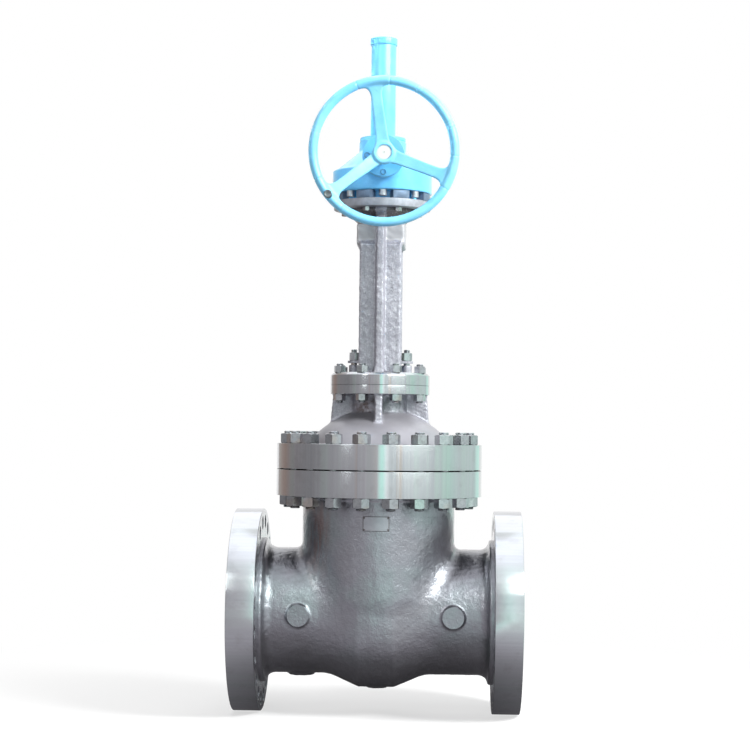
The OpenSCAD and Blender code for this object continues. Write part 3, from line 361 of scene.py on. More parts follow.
# even sky blue on the operator; on the wheel a paler copy, painted light for the stronger light it catches; and deep
# where it has run thick round the lid's screws
BLUE = sky_blue_enamel("sky_blue_enamel", "#64C4FC", "#74D0FF")
LIT_WHEEL_BLUE = sky_blue_enamel("sky_blue_enamel_lit_copy", "#7AD2FF", "#8ADCFF")
THICK_BLUE = sky_blue_enamel("thick_blue_enamel", "#4A93C0", "#5AA6D4")
BRIGHT_STEEL = plain_metal("ground_bright_steel", "#ECECEB", "#D9D9D6", 0.3, 0.55)  # nearly white, softly shining
STEM_STEEL = plain_metal("greased_stem_steel", "#B9BAB8", "#6F6A60", 0.3)  # grey, browned with grease
# the blocks' blue grey is painted reflection of the blue paint round them and painted shade between housing and flange
BLUE_SHADED_BLOCK_STEEL = plain_metal("sawn_block_steel_blue_shaded", "#8293A9", "#6D7B8E", 0.5, 0.7)  # dull blue grey
SCREW_STEEL = plain_metal("oiled_screw_steel", "#D5D8DC", "#9A9DA1", 0.36, 0.8)  # light, with an oily shine
FLANGE_STEEL = plain_metal("scraped_flange_steel", "#B2B4BB", "#93969E", 0.46, 0.5)  # flat light grey
PLATE_STEEL = plain_metal("painted_plate_steel", "#B2B2B9", "#A2A3AA", 0.36, 0.85)  # smoother than the neck behind it
GRAPHITE = plain_metal("pressed_graphite", "#2C2D2F", "#1B1C1D", 0.6, 0.2)  # nearly black, and matt
DULL_SCREW_STEEL = plain_metal("dull_screw_steel", "#8B8F93", "#4B4D50", 0.36)  # mid grey, darkly stained
BRONZE = plain_metal("turned_bronze", "#B58A4E", "#7E5E34", 0.34)  # brown gold


# ---------------------------------------------------------------- shapes as fields
# A field gives the distance from points to a surface, in millimetres, below zero inside.
def joined(a, b, k):
    """Two fields joined with a fillet."""
    h = np.maximum(k - np.abs(a - b), 0) / k
    return np.minimum(a, b) - h * h * k * 0.25


def common(a, b, k):
    """What two fields have in common, with a rounded edge."""
    return -joined(-a, -b, k)


def slab(value, low, high):
    """Distance to the band where value is between low and high."""
    return np.maximum(low - value, value - high)


def eased(value, low, high):
    """0 below low and 1 above high, smooth between."""
    t = np.clip((value - low) / (high - low), 0, 1)
    return t * t * (3 - 2 * t)


def lumps(x, y, z, size, seed):
    """A ripple of a millimetre or so either way, by chance, whose lumps are size millimetres across."""
    chance = np.random.default_rng(seed)
    total = 0
    for _ in range(9):
        way = chance.normal(size=3)
        way *= chance.uniform(0.7, 1.4) * math.pi / size / np.linalg.norm(way)
        total = total + np.sin(way[0] * x + way[1] * y + way[2] * z + chance.uniform(0, TURN))
    return total / 3


def skin(field, low, high, cell):
    """The zero surface of a field inside a box, as vertices and quads of about one size, in millimetres."""
    axes = [np.arange(a - cell, b + 2 * cell, cell) for a, b in zip(low, high)]
    shape = tuple(len(a) for a in axes)
    value = np.empty(shape, np.float32)
    for i, x in enumerate(axes[0]):
        y, z = np.meshgrid(axes[1], axes[2], indexing="ij")
        value[i] = field(np.full(y.shape, x), y, z)
    inside = value < 0
    corners = [(i, j, k) for i in (0, 1) for j in (0, 1) for k in (0, 1)]

    def at(array, corner):
        return array[tuple(slice(c, s - 1 + c) for c, s in zip(corner, shape))]

    # one vertex for each cell that the surface crosses, at the mean of its crossings of the cell's edges
    count = sum(at(inside, c).astype(np.int8) for c in corners)
    cells = np.argwhere((count > 0) & (count < 8))
    index = np.full([s - 1 for s in shape], -1, np.int64)
    index[tuple(cells.T)] = np.arange(len(cells))
    place, hits = np.zeros((len(cells), 3)), np.zeros(len(cells))
    for n, a in enumerate(corners):
        for b in corners[n + 1:]:
            if sum(abs(p - q) for p, q in zip(a, b)) != 1:
                continue
            va, vb = (value[tuple((cells + c).T)] for c in (a, b))
            cross = (va < 0) != (vb < 0)
            t = np.where(cross, va / np.where(cross, va - vb, 1), 0)
            place += cross[:, None] * (np.array(a) + t[:, None] * (np.array(b) - a))
            hits += cross
    points = (cells + place / hits[:, None]) * cell + [a[0] for a in axes]

    # one quad for each grid edge that goes through the surface, between the four cells round it
    quads = []
    for axis in range(3):
        u, v = (axis + 1) % 3, (axis + 2) % 3
        flip = inside != np.roll(inside, -1, axis)
        flip[tuple(slice(-1, None) if d == axis else slice(None) for d in range(3))] = False
        edges = np.argwhere(flip)
        edges = edges[(edges[:, u] > 0) & (edges[:, v] > 0)]
        edges = edges[(edges[:, u] < shape[u] - 1) & (edges[:, v] < shape[v] - 1)]
        outward = inside[tuple(edges.T)]
        steps = [np.zeros(3, int) for _ in range(4)]
        steps[0][[u, v]] = -1, -1
        steps[1][v] = -1
        steps[3][u] = -1
        quad = np.stack([index[tuple((edges + s).T)] for s in steps], 1)
        quads.append(np.where(outward[:, None], quad, quad[:, ::-1]))
    quads = np.concatenate(quads)
    assert (quads >= 0).all()

    def slope(p):
        return np.stack([field(*(p + half_mm).T) - field(*(p - half_mm).T) for half_mm in 0.5 * np.eye(3)], 1)

    def settle(p):
        for _ in range(3):
            g = slope(p)
            move = field(*p.T)[:, None] * g / np.maximum((g * g).sum(1), 0.05)[:, None]
            p = p - np.clip(move, -cell, cell)
        return p

    # the vertices are evened out along the surface and settled back on it
    points = settle(points)
    for _ in range(2):
        total, near = np.zeros_like(points), np.zeros(len(points))
        for a in range(4):
            np.add.at(total, quads[:, a], points[quads[:, (a + 1) % 4]] + points[quads[:, (a + 3) % 4]])
            np.add.at(near, quads[:, a], 2)
        points = settle(0.5 * points + 0.5 * total / near[:, None])
    return points, quads


# ---------------------------------------------------------------- meshes
# A shape is a list of points in millimetres and a list of faces.
def in_scene(name, data):
    """A new object in the scene, for a mesh, a lamp or a camera."""
    obj = bpy.data.objects.new(name, data)
    bpy.context.scene.collection.objects.link(obj)
    return obj


def in_metres(place):
    """A place in millimetres as one in metres."""
    return Matrix.Translation(place.translation * MM) @ place.to_3x3().to_4x4()


def shaded(mesh, sharp_deg):
    """Shades a mesh smooth, apart from its edges sharper than sharp_deg."""
    mesh.shade_smooth()
    mesh.set_sharp_from_angle(angle=math.radians(sharp_deg))


def along_z(distance):
    """A move along Z, in millimetres."""
    return Matrix.Translation((0, 0, distance))


def as_mesh(obj):
    """A plain mesh of an object with its modifiers carried out."""
    bpy.context.view_layer.update()
    return bpy.data.meshes.new_from_object(obj.evaluated_get(bpy.context.evaluated_depsgraph_get()))


def piece(name, shape, materials, place=Matrix.Identity(4), sharp_deg=EDGE, picks=None):
    """A mesh object from a shape, put in its place in the row's frame. Its picks say which of its materials each
    face gets."""
    points, faces = shape
    mesh = bpy.data.meshes.new(name)
    mesh.from_pydata([tuple(p) for p in np.asarray(points, float)], [], [tuple(map(int, f)) for f in faces])
    for material in materials if isinstance(materials, list) else [materials]:
        mesh.materials.append(material)
    if picks is not None:
        mesh.polygons.foreach_set("material_index", np.asarray(picks, np.int32))
    mesh.transform(in_metres(place) @ Matrix.Scale(MM, 4))
    shaded(mesh, sharp_deg)
    mesh.validate()
    return in_scene(name, mesh)


def finished(obj, slot, *nodes, body="valve"):
    """Says which body a piece rides on and which nodes it stands for. The slot, where its finish comes from, is not
    used.
    """
    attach(obj, body)
    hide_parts(*nodes)
    return obj


def several(shapes):
    """Several shapes as one."""
    points, faces = [], []
    for shape_points, shape_faces in shapes:
        faces += [[i + len(points) for i in f] for f in shape_faces]
        points += [tuple(p) for p in shape_points]
    return points, faces


def moved(shape, matrix):
    """A shape put through a matrix."""
    points, faces = shape
    return [matrix @ Vector(p) for p in points], faces


def turned(profile, steps=96):
    """A profile of (radius, height) spun round Z. A profile that starts and ends on the axis closes there, and any
    other closes on itself."""
    rings, points, faces = [], [], []
    for radius, height in profile:
        if radius == 0:
            rings.append([len(points)] * steps)
            points.append((0, 0, height))
            continue
        rings.append(range(len(points), len(points) + steps))
        points += ring(radius, height, steps)
    closing = [] if profile[0][0] == 0 else rings[:1]
    for a, b in zip(rings, rings[1:] + closing):
        for i in range(steps):
            j = (i + 1) % steps
            face = list(dict.fromkeys([a[i], a[j], b[j], b[i]]))
            if len(face) > 2:
                faces.append(face)
    return points, faces


def band(inner, outer, low, high):
    """The square profile of a ring, or of a disc where inner is 0."""
    return [(inner, low), (outer, low), (outer, high), (inner, high)]


def rounded(corners, radius):
    """A profile with its corners rounded off by short arcs, apart from those on the axis."""
    out = []
    for i, corner in enumerate(corners):
        before, here, after = (Vector(c) for c in (corners[i - 1], corner, corners[(i + 1) % len(corners)]))
        if here.x == 0:
            out.append(corner)
            continue
        reach = min(radius, (before - here).length * 0.45, (after - here).length * 0.45)
        a = here + (before - here).normalized() * reach
        b = here + (after - here).normalized() * reach
        for t in (0, 0.33, 0.67, 1):
            p = a * (1 - t) ** 2 + here * 2 * t * (1 - t) + b * t * t
            out.append((p.x, p.y))
    return out


def ring(radius, height, steps):
    """Points round Z. The radius and the height are each a number, or one number for each point."""
    angles = np.arange(steps) * TURN / steps
    radii, heights = (np.broadcast_to(n, steps).tolist() for n in (radius, height))
    return [(r * math.cos(a), r * math.sin(a), h) for a, r, h in zip(angles, radii, heights)]


def raised(outline, height):
    """A flat outline's points at one height."""
    return [(x, y, height) for x, y in outline]


def stacked(rings, holed=False):
    """A skin through rings of points, each with as many. Its ends are capped, or joined where it is holed."""
    count, levels = len(rings[0]), len(rings)
    faces = []
    for n in range(levels if holed else levels - 1):
        for i in range(count):
            j, m = (i + 1) % count, (n + 1) % levels
            faces.append([n * count + i, n * count + j, m * count + j, m * count + i])
    if not holed:
        faces += [list(range(count))[::-1], list(range((levels - 1) * count, levels * count))]
    return [p for points in rings for p in points], faces


def hexagon(flat_r, steps):
    """The radius of a hexagon at each of some steps round it, from half its width across the flats."""
    sixth = math.pi / 3
    return flat_r / np.cos((np.arange(steps) * TURN / steps + sixth / 2) % sixth - sixth / 2)


def nut_shape(across_flats, height, hole_r):
    """A hexagon nut, chamfered on both faces, standing on z = 0."""
    steps = 48
    sides = hexagon(across_flats / 2, steps)
    crown_r = 0.965 * across_flats / 2
    drop = (sides - crown_r) * math.tan(math.radians(30))
    sink = 0.06 * across_flats
    return stacked([ring(radius, z, steps) for radius, z in (
        (hole_r, sink), (hole_r + sink, 0), (crown_r, 0), (sides, drop), (sides, height - drop),
        (crown_r, height), (hole_r + sink, height), (hole_r, height - sink),
    )], holed=True)


def socket_screw(head_r, shank_r, head_h, key_r):
    """A cap screw with a hexagon socket, its head standing on z = 0."""
    steps, edge, lead, shank_h, socket_h = 24, 1.5, 0.8, 20, 6
    socket = hexagon(key_r * math.cos(math.pi / 6), steps)
    return stacked([ring(radius, z, steps) for radius, z in (
        (shank_r, -shank_h), (shank_r, 0), (head_r, 0), (head_r, head_h - edge), (head_r - edge, head_h),
        (key_r + lead, head_h), (socket, head_h - lead), (socket, head_h - socket_h),
    )])


def stud_shape(radius, low, high):
    """A stud with chamfered, threaded ends."""
    thread, pitch, depth, chamfer = 22, 3.5, 1.4, 2.5
    turns = range(int(thread / pitch))
    profile = [(0, low), (radius - chamfer, low), (radius, low + chamfer)]
    for z in (low + 3 + k * pitch for k in turns):
        profile += [(radius, z), (radius - depth, z + pitch / 2)]
    profile += [(radius, low + thread + 2), (radius, high - thread - 2)]
    for z in (high - thread + k * pitch for k in turns):
        profile += [(radius - depth, z - pitch / 2), (radius, z)]
    profile += [(radius, high - chamfer), (radius - chamfer, high), (0, high)]
    return turned(profile, 20)


def bolt_circle_tree():
    """Geometry nodes that spread copies of one fastener round a circle, each turned a little by chance."""
    tree = bpy.data.node_groups.new("bolt_circle", "GeometryNodeTree")
    face = tree.interface
    for name, kind in [
        ("Fastener", "NodeSocketObject"), ("Count", "NodeSocketInt"), ("Circle Radius", "NodeSocketFloat"),
        ("Start Angle", "NodeSocketFloat"), ("Turn By Chance", "NodeSocketFloat"), ("Seed", "NodeSocketInt"),
        ("Finish", "NodeSocketMaterial"),
    ]:
        face.new_socket(name, in_out="INPUT", socket_type=kind)
    face.new_socket("Geometry", in_out="OUTPUT", socket_type="NodeSocketGeometry")
    given = add(tree, "NodeGroupInput").outputs
    circle = add(tree, "GeometryNodeMeshCircle", {"Vertices": given["Count"], "Radius": given["Circle Radius"]})
    start = add(tree, "ShaderNodeCombineXYZ", {"Z": given["Start Angle"]})
    holes = add(tree, "GeometryNodeTransform", {"Geometry": circle, "Rotation": start})
    place = add(tree, "GeometryNodeInputPosition")
    split = add(tree, "ShaderNodeSeparateXYZ", {"Vector": place})
    outward = add(tree, "ShaderNodeMath", {0: split.outputs["Y"], 1: split.outputs["X"]}, operation="ARCTAN2")
    low = add(tree, "ShaderNodeMath", {0: given["Turn By Chance"], 1: -1.0}, operation="MULTIPLY")
    chance = add(tree, "FunctionNodeRandomValue", {
        2: low, 3: given["Turn By Chance"], "Seed": given["Seed"],
    }, data_type="FLOAT")
    angle = add(tree, "ShaderNodeMath", {0: outward, 1: chance}, operation="ADD")
    turn = add(tree, "ShaderNodeCombineXYZ", {"Z": angle})
    fastener = add(tree, "GeometryNodeObjectInfo", {"Object": given["Fastener"], "As Instance": True})
    copies = add(tree, "GeometryNodeInstanceOnPoints", {
        "Points": holes, "Instance": fastener.outputs["Geometry"], "Rotation": turn,
    })
    whole = add(tree, "GeometryNodeRealizeInstances", {"Geometry": copies})
    painted = add(tree, "GeometryNodeSetMaterial", {"Geometry": whole, "Material": given["Finish"]})
    add(tree, "NodeGroupOutput", {"Geometry": painted})
    return tree


BOLT_CIRCLE = bolt_circle_tree()


def bolt_circle(name, shape, place, material, count, circle_r, start=0.0, chance_deg=0, seed=1):
    """One fastener's shape spread round a bolt circle by the nodes, as a plain mesh."""
    single = piece(name + "_one", shape, material)
    host = in_scene(name + "_host", bpy.data.meshes.new(name + "_host"))
    nodes = host.modifiers.new("bolt_circle", "NODES")
    nodes.node_group = BOLT_CIRCLE
    inputs = {
        "Fastener": single, "Count": count, "Circle Radius": circle_r * MM, "Start Angle": start,
        "Turn By Chance": math.radians(chance_deg), "Seed": seed, "Finish": material,
    }
    for item in BOLT_CIRCLE.interface.items_tree:
        if item.in_out == "INPUT":
            nodes[item.identifier] = inputs[item.name]
    mesh = as_mesh(host)
    mesh.name = name
    mesh.transform(in_metres(place))
    shaded(mesh, EDGE)
    for used in (host, single):
        bpy.data.objects.remove(used)
    return in_scene(name, mesh)


def half_step(count):
    """The angle of the first hole beside the front, half a step away from it."""
    return math.radians(-90 + 180 / count)


def cut_out(obj, shape, place, sharp_deg):
    """Cuts one closed shape out of a piece."""
    cutter = piece("cutter", shape, list(obj.data.materials), place)
    tool = obj.modifiers.new("cut", "BOOLEAN")
    tool.operation, tool.solver, tool.object = "DIFFERENCE", "MANIFOLD", cutter
    mesh = as_mesh(obj)
    obj.modifiers.clear()
    obj.data = mesh
    bpy.data.objects.remove(cutter)
    # the cut can leave slivers of no area along its edge
    clean = bmesh.new()
    clean.from_mesh(mesh)
    bmesh.ops.dissolve_degenerate(clean, dist=0.002 * MM, edges=clean.edges)
    clean.to_mesh(mesh)
    clean.free()
    shaded(mesh, sharp_deg)


# ---------------------------------------------------------------- body
def belly_radius(x):
    """Radius of the pocket's underside about the pipe's axis: a blunt crown, then even slopes to the barrels."""
    return np.minimum(BELLY_R, BELLY_SHOULDER_R + BELLY_SLOPE * (BELLY_SHOULDER_X - np.abs(x)))


def body_field(x, y, z):
    along = np.abs(x)
    pipe = np.hypot(y, z)
    run = joined(pipe - BARREL_R, common(pipe - HUB_R, HUB_X - along, 7), 42)
    low = np.minimum(z, 0)
    # fuller than round, so that the front stays upright well below the pipe's axis
    under = (np.abs(y) ** 2.4 + np.abs(low) ** 2.4) ** (1 / 2.4) - belly_radius(x) - 60 * eased(z, 0, 160)
    pocket = common(np.hypot(x, y) - NECK_R, under, 26)
    # the fillet between the pipe and the pocket grows towards the neck, and is least below the barrels
    fillet = (34 + 36 * eased(z, 40, 250)) * (0.4 + 0.6 * eased(np.abs(y), 50, 180))
    shell = joined(run, pocket, fillet)
    # lifting pads on the barrels, the boss under the inlet barrel and the drain boss
    for side in (-1, 1):
        pad = common(np.hypot(x - side * SIDE_BOSS_X, z) - SIDE_BOSS_R + 0.5, np.abs(y) - SIDE_BOSS_OUT + 5, 4)
        shell = joined(shell, pad, 13)
    under_boss = common(np.hypot(x + SIDE_BOSS_X, y) - UNDER_BOSS_R, slab(z, -BARREL_R - UNDER_BOSS_H, 0), 9)
    shell = joined(shell, under_boss, 10)
    drain = common(np.hypot(x, y) - DRAIN_BOSS_R, slab(z, -BELLY_R - DRAIN_BOSS_H, 0), 4)
    shell = joined(shell, drain, 9)
    # turned step under the body flange
    step = common(np.hypot(x, y) - NECK_R - 5, slab(z, JOINT_LOW - 12, JOINT_LOW + 40), 2)
    shell = joined(shell, step, 4)
    shell = shell + 0.25 * lumps(x, y, z, 15, 5) + 0.35 * lumps(x, y, z, 42, 6)
    ends = np.maximum(along - PIPE_FLANGE_X - 8, z - JOINT_LOW - 12)
    return np.maximum(shell, ends)


def make_body():
    """The body casting, with its bore, its seats' chamber and the wedge's well cut out."""
    body = piece("valve_body", skin(body_field, (-460, -305, -310), (460, 305, 466), 5.6), CAST, AT_STEM, CAST_EDGE)
    for profile, steps, place in (
        (band(0, BORE_R, -500, 500), 96, ALONG_PIPE),
        (band(0, CHAMBER_R, -CHAMBER_X, CHAMBER_X), 96, ALONG_PIPE),
        (band(0, WELL_R, 0, 500), 64, AT_STEM),
    ):
        cut_out(body, turned(profile, steps), place, CAST_EDGE)
    finished(body, "cast_body", "body_casting")


def make_side_bosses():
    """The flat, machined faces of the lifting pads."""
    foot_r = SIDE_BOSS_R - 3
    pad = turned([(0, -30), (foot_r, -30), (foot_r, -9), (SIDE_BOSS_R, -6), (SIDE_BOSS_R, -2.5),
                  (SIDE_BOSS_R - 2.5, 0), (0, 0)], 64)
    pads = several(
        moved(pad, Matrix.Translation((x, side * SIDE_BOSS_OUT, 0)) @ Matrix.Rotation(-side * math.pi / 2, 4, "X"))
        for x in (-SIDE_BOSS_X, SIDE_BOSS_X) for side in (-1, 1)
    )
    finished(piece("lifting_pads", pads, CAST, AT_STEM, sharp_deg=30), "cast_body", "body_casting")


def make_pipe_flange(name, node, side):
    """One end flange: bare turned rim and face, with the body's coat on its back."""
    face, steps = PIPE_FLANGE_T, 180
    profile = rounded([
        (BORE_R - 0.1, 0), (PIPE_FLANGE_R, 0), (PIPE_FLANGE_R, face), (RAISED_R, face),
        (RAISED_R, face + RAISED_H), (BORE_R - 0.1, face + RAISED_H),
    ], 3.2)
    points, faces = turned(profile, steps)
    # the coat covers the back, with the start of its rounded edge, and the bore, which is the last ring of faces
    bare = [5 <= i // steps < len(profile) - 1 for i in range(len(faces))]
    place = AT_STEM @ Matrix.Rotation(side * math.pi / 2, 4, "Y") @ along_z(PIPE_FLANGE_X)
    flange = piece(name, (points, faces), [CAST, PIPE_STEEL], place, TURNED_EDGE, bare)

    hole_r, rim_r = PIPE_BOLT_HOLE_R, PIPE_BOLT_HOLE_R + 12
    drill = turned([(0, -20), (rim_r, -20), (rim_r, -10.5), (hole_r, 1.5), (hole_r, face - 1.5),
                    (rim_r, face + 10.5), (rim_r, face + 20), (0, face + 20)], 40)
    angles = [TURN * (i + 0.5) / PIPE_BOLTS for i in range(PIPE_BOLTS)]
    spots = [(PIPE_BOLT_CIRCLE_R * math.cos(a), PIPE_BOLT_CIRCLE_R * math.sin(a), 0) for a in angles]
    cut_out(flange, several(moved(drill, Matrix.Translation(spot)) for spot in spots), place, TURNED_EDGE)
    finished(flange, "machined_steel", node)


def ring_flange(name, node, material, radius, hole_r, low, high, chamfer=0):
    """A turned ring with softened edges, and a wider chamfer on its upper rim where one is asked for."""
    corners = band(hole_r, radius, low, high)
    if chamfer:
        corners[2:3] = [(radius, high - chamfer), (radius - chamfer, high)]
    flange = piece(name, turned(rounded(corners, 2), 180), material, AT_STEM, TURNED_EDGE)
    return finished(flange, "machined_steel", node)


def painted_gap_shade(flange, height):
    """Paints the face of a flange that looks into the joint's gap nearly black, a painted shade in the gap."""
    flange.data.materials.append(GRAPHITE)
    for face in flange.data.polygons:
        if abs(face.center.z - height * MM) < 0.2 * MM:
            face.material_index = 1


# ---------------------------------------------------------------- bonnet
def bonnet_field(x, y, z):
    around = np.hypot(x, y)
    dome = np.sqrt(x * x + y * y + (z - DOME_Z) ** 2) - DOME_R
    crown = joined(dome, around - STUFFING_R + 1.1 * lumps(x, y, z, 13, 8), 12)
    edge = BONNET_RIB_OUT + BONNET_RIB_SPLAY * np.clip((BONNET_TOP - z) / BONNET_RIB_H, 0, 1)
    swell = 4 * eased(z, BONNET_TOP - 26, BONNET_TOP + 4)
    for a, b in ((x, y), (y, x)):
        rib = common(np.abs(b) - BONNET_RIB_HALF_T - swell, np.abs(a) - edge, 8) + 0.6 * lumps(x, y, z, 9, 9)
        crown = joined(crown, rib, 11)
    plate = common(around - YOKE_R + 6, BONNET_TOP + 1.5 - z, 3)
    crown = joined(crown, plate, 12)
    return np.maximum(crown, slab(z, BONNET_FLANGE_TOP - 10, BONNET_TOP + 8))


def make_bonnet():
    """The dome, smooth where it is a plain ball, with the stuffing box and ribs as they were cast."""
    points, quads = skin(bonnet_field, (-290, -290, 634), (290, 290, 856), 4.2)
    above_ball = np.linalg.norm(points[quads].mean(1) - (0, 0, DOME_Z), axis=1) - DOME_R
    dome = piece("bonnet_dome", (points, quads), [SILVER, SILVER_CAST], AT_STEM, CAST_EDGE, np.abs(above_ball) > 1.2)
    finished(dome, "cast_upper", "bonnet_casting")


# ---------------------------------------------------------------- yoke
def yoke_field(x, y, z):
    across, out = np.abs(x), np.abs(y)
    around = np.hypot(x, y)
    bevel = ARM_OUT - 12 * np.clip((z - ARM_TOP + 18) / 18, 0, 1)
    plate = common(common(across - ARM_HALF_W, slab(out, ARM_IN, bevel), 7), z - ARM_TOP, 4)
    draft = 3 * eased(out, ARM_OUT, RIB_OUT)
    foot = 6 * (1 - eased(z, YOKE_FOOT_TOP, YOKE_FOOT_TOP + 30))
    crest = RIB_OUT - 34 * eased(z, RIB_TOP - 46, RIB_TOP + 4)
    rib = common(common(across - RIB_HALF_T - 1 + draft - foot, slab(out, ARM_IN, crest), 6), z - RIB_TOP, 14)
    arms = joined(plate, rib, 7)
    head = common(common(across - HEAD_HALF_W, out - HEAD_Y, 12), slab(z, HEAD_LOW, HEAD_TOP), 10)
    wide = HEAD_HALF_W + (FLARE_R - HEAD_HALF_W) * np.clip((z - FLARE_LOW) / FLARE_H, 0, 1)
    flare = common((around - wide) * 0.7, slab(z, FLARE_LOW - 20, YOKE_TOP_LOW + 6), 10)
    head = joined(head, flare, 8)
    sole = common(around - SOLE_R, z - YOKE_FOOT_TOP + 1, 2)
    yoke = joined(joined(arms, head, 6), sole, 16)
    for side in (-1, 1):
        lug = common(np.hypot(x - side * GLAND_X, y) - LUG_R, z - YOKE_FOOT_TOP - LUG_H, 4)
        yoke = joined(yoke, lug, 8)
    nipple = common(np.hypot(x - NIPPLE_X, z - NIPPLE_Z) - NIPPLE_R, slab(y, -NIPPLE_OUT, -40), 5)
    yoke = joined(yoke, nipple, 10) + 0.35 * lumps(x, y, z, 14, 12)
    # room for the sleeve in the head, and for the gland in the foot
    yoke = np.maximum(yoke, SLEEVE_BORE_R - np.where(z > HEAD_LOW - 60, around, 1e3))
    yoke = np.maximum(yoke, GLAND_WELL_R - np.where(z < GLAND_TOP + 27, around, 1e3))
    return np.maximum(yoke, slab(z, YOKE_FOOT_TOP - 8, YOKE_TOP_LOW + 6))


def make_yoke():
    """The arms and head, with the head ground smooth beside the ribs and its flare dark in painted shade under the top
    flange.
    """
    points, quads = skin(yoke_field, (-154, -176, 908), (154, 176, 1568), 4.0)
    x, y, z = points[quads].mean(1).T
    beside_rib = np.abs(x) > RIB_HALF_T + 5
    flare = (z > FLARE_LOW) & beside_rib & (np.hypot(x, y) > SLEEVE_BORE_R + 3)
    head = (z > HEAD_LOW + 2) & (np.abs(y) < HEAD_Y + 2) & beside_rib & ~flare
    yoke = piece("yoke_frame", (points, quads), [SILVER_CAST, SHADE_SKIN, HEAD_SILVER], AT_STEM, CAST_EDGE,
                 flare + 2 * head)
    finished(yoke, "cast_upper", "yoke_casting")


# ---------------------------------------------------------------- gear operator
def housing_field(x, y, z):
    around = np.hypot(x, y)
    off_shaft = np.hypot(x, z - SHAFT_Z)
    lid_back = PINION_FRONT - PINION_COVER_T
    sides = np.interp(z, (SHOULDER, SHOULDER + CONE_LOW_H, BEARING_LOW + 4), (DRUM_R, CONE_LOW_R, BEARING_R))
    drum = common((around - sides) * 0.8, slab(z, DRUM_LOW, BEARING_LOW + 4), 6)
    bearing = common(around - BEARING_R, slab(z, DRUM_LOW, HOUSING_TOP), 6)
    barrel = common(off_shaft - PINION_R, slab(-y, 60, lid_back), 2)
    collar = common(off_shaft - PINION_COVER_R, slab(-y, lid_back - COLLAR_T, lid_back), 3)
    return joined(joined(joined(drum, bearing, 8), barrel, 26), collar, 8)


def painted(name, node, shape, place=AT_OPERATOR):
    """One of the operator's turned pieces, in its blue."""
    finished(piece(name, shape, BLUE, place), "blue_paint", node)


def make_gear_operator():
    """The housing with its covers, and the tube over the stem with the bead of its weld."""
    housing = piece("gear_housing_shell", skin(housing_field, (-200, -250, 1610), (200, 200, 1830), 4.0), BLUE,
                    AT_OPERATOR, CAST_EDGE)
    finished(housing, "blue_paint", "gear_housing", "pinion_housing")
    painted("bearing_lid", "bearing_cover", turned(rounded(band(0, BEARING_LID_R, HOUSING_TOP, COVER_LOW), 3)))
    lid = band(SHAFT_R + 0.4, PINION_COVER_R, PINION_FRONT - PINION_COVER_T, PINION_FRONT)
    painted("pinion_lid", "pinion_cover", turned(rounded(lid, 2.5)), ALONG_SHAFT)

    head_h, proud = 11, 3
    screws = bolt_circle(
        "pinion_lid_screws", socket_screw(head_r=12, shank_r=8, head_h=head_h, key_r=7),
        ALONG_SHAFT @ along_z(PINION_FRONT + proud - head_h), THICK_BLUE, 4, COVER_SCREW_CIRCLE_R,
        chance_deg=40, seed=5,
    )
    finished(screws, "bolting", "pinion_cover_screws")

    tube = rounded(band(COVER_R - 6, COVER_R, COVER_LOW, COVER_TOP), 1)
    bead = [(COVER_R - 1, COVER_LOW - 0.5), (COVER_R + 7, COVER_LOW - 0.5), (COVER_R + 5.5, COVER_LOW + 4),
            (COVER_R + 1.5, COVER_LOW + 7), (COVER_R - 1, COVER_LOW + 7.5)]
    painted("stem_cover", "stem_cover_tube", several([turned(tube, 72), turned(bead, 72)]))
    cap = rounded([(0, COVER_TOP - 1), (CAP_R, COVER_TOP - 1), (CAP_R, CAP_TOP - 2), (CAP_R - 6, CAP_TOP),
                   (0, CAP_TOP)], 2)
    painted("stem_cover_lid", "stem_cover_cap", turned(cap, 72))


def make_mounting():
    """The steel blocks between the yoke and the housing, with the bolts and screws that hold them."""
    half = BLOCK_W / 2
    outer = [(math.sqrt(BLOCK_OUT ** 2 - t * t), t) for t in np.linspace(-half, half, 9)]
    inner = [(math.sqrt(BLOCK_IN ** 2 - t * t), t) for t in np.linspace(half, -half, 9)]
    sides = np.array(outer + inner)
    ends = sides + (sides.mean(0) - sides) * 0.03
    block = stacked([raised(outline, z) for outline, z in (
        (ends, 0.6), (sides, 1.6), (sides, BLOCK_H - 1.6), (ends, BLOCK_H - 0.6),
    )])
    blocks = several(
        moved(block, Matrix.Rotation(half_step(BLOCKS) + TURN * i / BLOCKS, 4, "Z")) for i in range(BLOCKS)
    )
    place = AT_OPERATOR @ along_z(YOKE_TOP)
    finished(piece("operator_blocks", blocks, BLUE_SHADED_BLOCK_STEEL, place), "machined_steel", "mounting_blocks")

    bolt = several([nut_shape(BLOCK_BOLT_AF, BLOCK_BOLT_H, 6), turned(band(0, BLOCK_BOLT_R, 1, 27), 16)])
    bolts = bolt_circle(
        "operator_bolts", bolt, AT_OPERATOR @ along_z(YOKE_TOP_LOW - BLOCK_BOLT_H), NUT_STEEL,
        BLOCKS, BLOCK_BOLT_CIRCLE_R, half_step(BLOCKS), chance_deg=25, seed=3,
    )
    finished(bolts, "bolting", "block_bolts")
    screw = moved(socket_screw(head_r=15, shank_r=8, head_h=23, key_r=8), Matrix.Rotation(math.pi, 4, "X"))
    screws = bolt_circle(
        "housing_screw_heads", screw, AT_OPERATOR @ along_z(DRUM_LOW), SCREW_STEEL,
        BLOCKS, HOUSING_SCREW_CIRCLE_R, math.radians(-90), chance_deg=30, seed=4,
    )
    finished(screws, "bolting", "housing_screws")
    painted("housing_spigot", "gear_housing", turned(rounded(band(STEM_HOLE_R, SPIGOT_R, YOKE_TOP, DRUM_LOW + 2), 1)))


